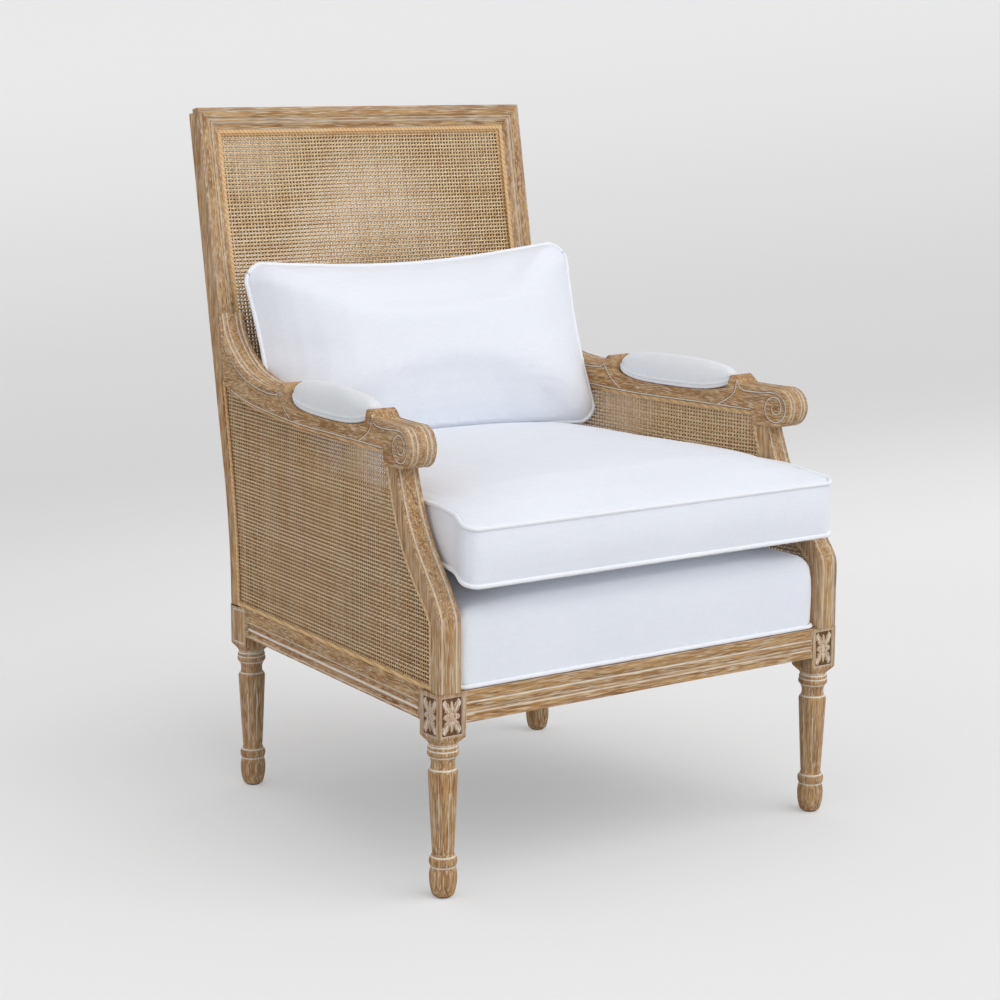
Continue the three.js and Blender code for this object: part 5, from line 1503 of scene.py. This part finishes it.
def welt(name, line, body, slot, material, radius=welt_radius, step=3.0):
    """A corded tube along a seam, slightly uneven as sewn welts are."""
    around = np.asarray(line, float)
    length = np.linalg.norm(np.diff(np.vstack([around, around[:1]]), axis=0), axis=1).sum()
    line = even(line, int(length / step), True)
    run = unit(np.roll(line, -1, 0) - np.roll(line, 1, 0))
    steep = np.abs(run[:, 2:]) > 0.8
    side = unit(np.cross(run, np.where(steep, [[0.0, 1.0, 0.0]], [[0.0, 0.0, 1.0]])))
    over = np.cross(side, run)
    count = np.arange(len(line))
    wave = (1 + 0.05 * np.sin(count * 0.9) * np.sin(count * 0.37))[:, None, None]
    turns = np.linspace(0, 2 * math.pi, 10, endpoint=False)
    rings = (
        line[:, None]
        + side[:, None] * (np.cos(turns) * radius)[None, :, None] * wave
        + over[:, None] * (np.sin(turns) * radius)[None, :, None] * wave
    )
    return make_piece(name, [skin(rings, loop=True)], material, body, slot, angle=180)


print("stuffing and welts ready")

# %% Deck, cushion, pillow and arm pads
held, nearly_held, pad_held = 0.0005, 0.0012, 0.0004
deck_give, cushion_give, pillow_rear_give, pillow_front_give, pad_give = 0.0025, 0.010, 0.001, 0.013, 0.003


def deck_cap(points):
    height = points[:, 2] * 1000
    return np.where((height > deck_high - 3.2) | (height < deck_bottom + 2.8), held, deck_give)


def cushion_cap(points):
    height = points[:, 2] * 1000
    below = height < cushion_bottom + 2
    side = np.abs(points[:, 0]) * 1000 > inner_half((points[:, 1] - front_y) * 1000, cushion_clear) - 12
    between_arms = side & (points[:, 1] > front_y + 0.02)
    return np.where(below, held, np.where(between_arms, nearly_held, cushion_give))


def pillow_cap(points):
    local = (points * 1000 - [0, front_y * 1000, 0] - pillow_centre) @ pillow_place
    forward = np.clip(-local[:, 1] / 40, 0, 1)
    low = points[:, 2] * 1000 < cushion_high(points[:, 0] * 1000, (points[:, 1] - front_y) * 1000) + 14
    ends = np.abs(local[:, 0]) > pillow_width / 2 - 16
    return np.where(low | ends, nearly_held, pillow_rear_give + pillow_front_give * forward)


def pad_cap(points):
    return np.where(points[:, 2] * 1000 < pad_seat_height + 12, pad_held, pad_give)


deck_seam = flat_ring(deck_outline, 1, 1.0, lambda x, y: deck_bottom + 1.4 + 0 * x)
seam_low = flat_ring(cushion_outline, 1, 0, edge_at(0, 2.4))
seam_high = flat_ring(cushion_outline, 1, 0, edge_at(1, -2.4))

deck = stuffed(
    "upholstered_deck", deck_rings, "frame", "linen_upholstery", linen, [deck_seam], voxel=7, cap=deck_cap
)
cushion_seams = [seam_low, seam_high]
cushion = stuffed(
    "loose_seat_cushion",
    cushion_rings,
    "cushion",
    "linen_cushions",
    linen,
    cushion_seams,
    voxel=6,
    cap=cushion_cap,
)
pillow = stuffed(
    "kidney_pillow",
    pillow_rings,
    "pillow",
    "linen_cushions",
    linen,
    [pillow_seam],
    voxel=5,
    cap=pillow_cap,
)
arm_pad = stuffed(
    "arm_pad_cover_left", pad_rings, "frame", "linen_upholstery", linen_pad, [], voxel=3.5, cap=pad_cap
)
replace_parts(deck, "seat_deck")
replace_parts(cushion, "seat_cushion")
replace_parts(pillow, "lumbar_pillow")
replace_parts(arm_pad, "arm_pad_left")
pad_right = turned_over(arm_pad, "arm_pad_cover_right")
rounded(pad_right)
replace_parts(pad_right, "arm_pad_right")

# %% Welts along the seams
welt("cushion_welt_top", seam_high, "cushion", "linen_cushions", linen_welt)
welt("cushion_welt_bottom", seam_low, "cushion", "linen_cushions", linen_welt)
welt("pillow_welt", pillow_seam, "pillow", "linen_cushions", linen_welt)
welt("deck_welt", deck_seam, "frame", "linen_upholstery", linen_welt)
for place, ring in (("lower", pad_ring(2.4, 1.4, 3.2)), ("upper", pad_ring(2.2, 0.8, 8.2))):
    pad_welt = welt(
        f"arm_pad_welt_{place}_left", ring, "frame", "linen_upholstery", linen_pad, radius=2.9
    )
    turned_over(pad_welt, pad_welt.name.replace("left", "right"))
print("welts sewn on")

# %% [markdown]
# ## The set and the light
# The photograph shows a pale grey seamless set. Its light is a very large soft source to the right and
# above, with weak light from the left. The lamp and the world are at the level where a colour renders about
# as it is written. The paper would then be darker than in the photograph, so it glows a little more near
# the front and up the wall. Only the rays that a camera, a mirror or a glass sends see that glow, so it
# puts no light on the chair, and the floor keeps its shadow.

# %% Floor, backdrop and lights
paper = bpy.data.materials.new("grey_backdrop_paper")
node = emptied(paper)
place = node("TexCoord", {}, "Object")
slope = node("VectorMath", {0: place, 1: (-0.11, 0.12, 1.0)}, "Value", operation="DOT_PRODUCT")
eased = {"interpolation_type": "SMOOTHSTEP"}
near = node("MapRange", {0: slope, 1: 0.12, 2: 0.5, 3: 0.29, 4: 0.1}, **eased)
far = node("MapRange", {0: slope, 1: 0.5, 2: 1.7, 3: 0.0, 4: 0.165}, **eased)
glow = node("Math", {0: near, 1: far}, operation="ADD")
ray = node("LightPath", {}).node.outputs
seen = node("Math", {0: ray["Is Camera Ray"], 1: ray["Is Glossy Ray"]}, operation="MAXIMUM")
seen = node("Math", {0: seen, 1: ray["Is Transmission Ray"]}, operation="MAXIMUM")
lit = node("Math", {0: glow, 1: seen}, operation="MULTIPLY")
sheet = {"Base Color": "#CDCDCD", "Roughness": 0.95, "Specular IOR Level": 0.1}
shown = {"Emission Color": "#F8F8F8", "Emission Strength": lit}
node("OutputMaterial", {"Surface": node("BsdfPrincipled", {**sheet, **shown})})

paper_start, paper_bend, paper_radius, paper_top, paper_side = -9, 1.4, 2.8, 8, 9
bends = [
    (paper_bend + paper_radius * math.sin(a), paper_radius - paper_radius * math.cos(a))
    for a in np.linspace(0, math.pi / 2, 24)[1:]
]
profile = [(paper_start, 0), (paper_bend, 0), *bends, (paper_bend + paper_radius, paper_top)]
sweep_points = [(x, y, z) for x in (-paper_side, paper_side) for y, z in profile]
count = len(profile)
backdrop_mesh = bpy.data.meshes.new("backdrop")
backdrop_mesh.from_pydata(sweep_points, [], [(i, i + 1, i + 1 + count, i + count) for i in range(count - 1)])
backdrop_mesh.shade_smooth()
backdrop_mesh.materials.append(paper)
backdrop = put("backdrop", backdrop_mesh)
backdrop.rotation_euler.z = -camera_turn

sun = put("key", bpy.data.lights.new("key", "SUN"))
sun.data.energy, sun.data.angle = 1.15, math.radians(70)
sun.rotation_euler = Vector((0.25, -0.62, 0.72)).to_track_quat("Z", "Y").to_euler()
world = bpy.data.worlds.new("room")
bpy.context.scene.world = world
node = emptied(world)
rise = node("SeparateXYZ", {"Vector": node("TexCoord", {}, "Generated")}, "Z")
level = node("MapRange", {0: rise, 1: 0.0, 2: 1.0, 3: 0.93, 4: 0.59})
node("OutputWorld", {"Surface": node("Background", {"Color": "#FAFAFC", "Strength": level})})
bpy.context.scene.view_settings.view_transform = "Standard"
print("set and lights ready")
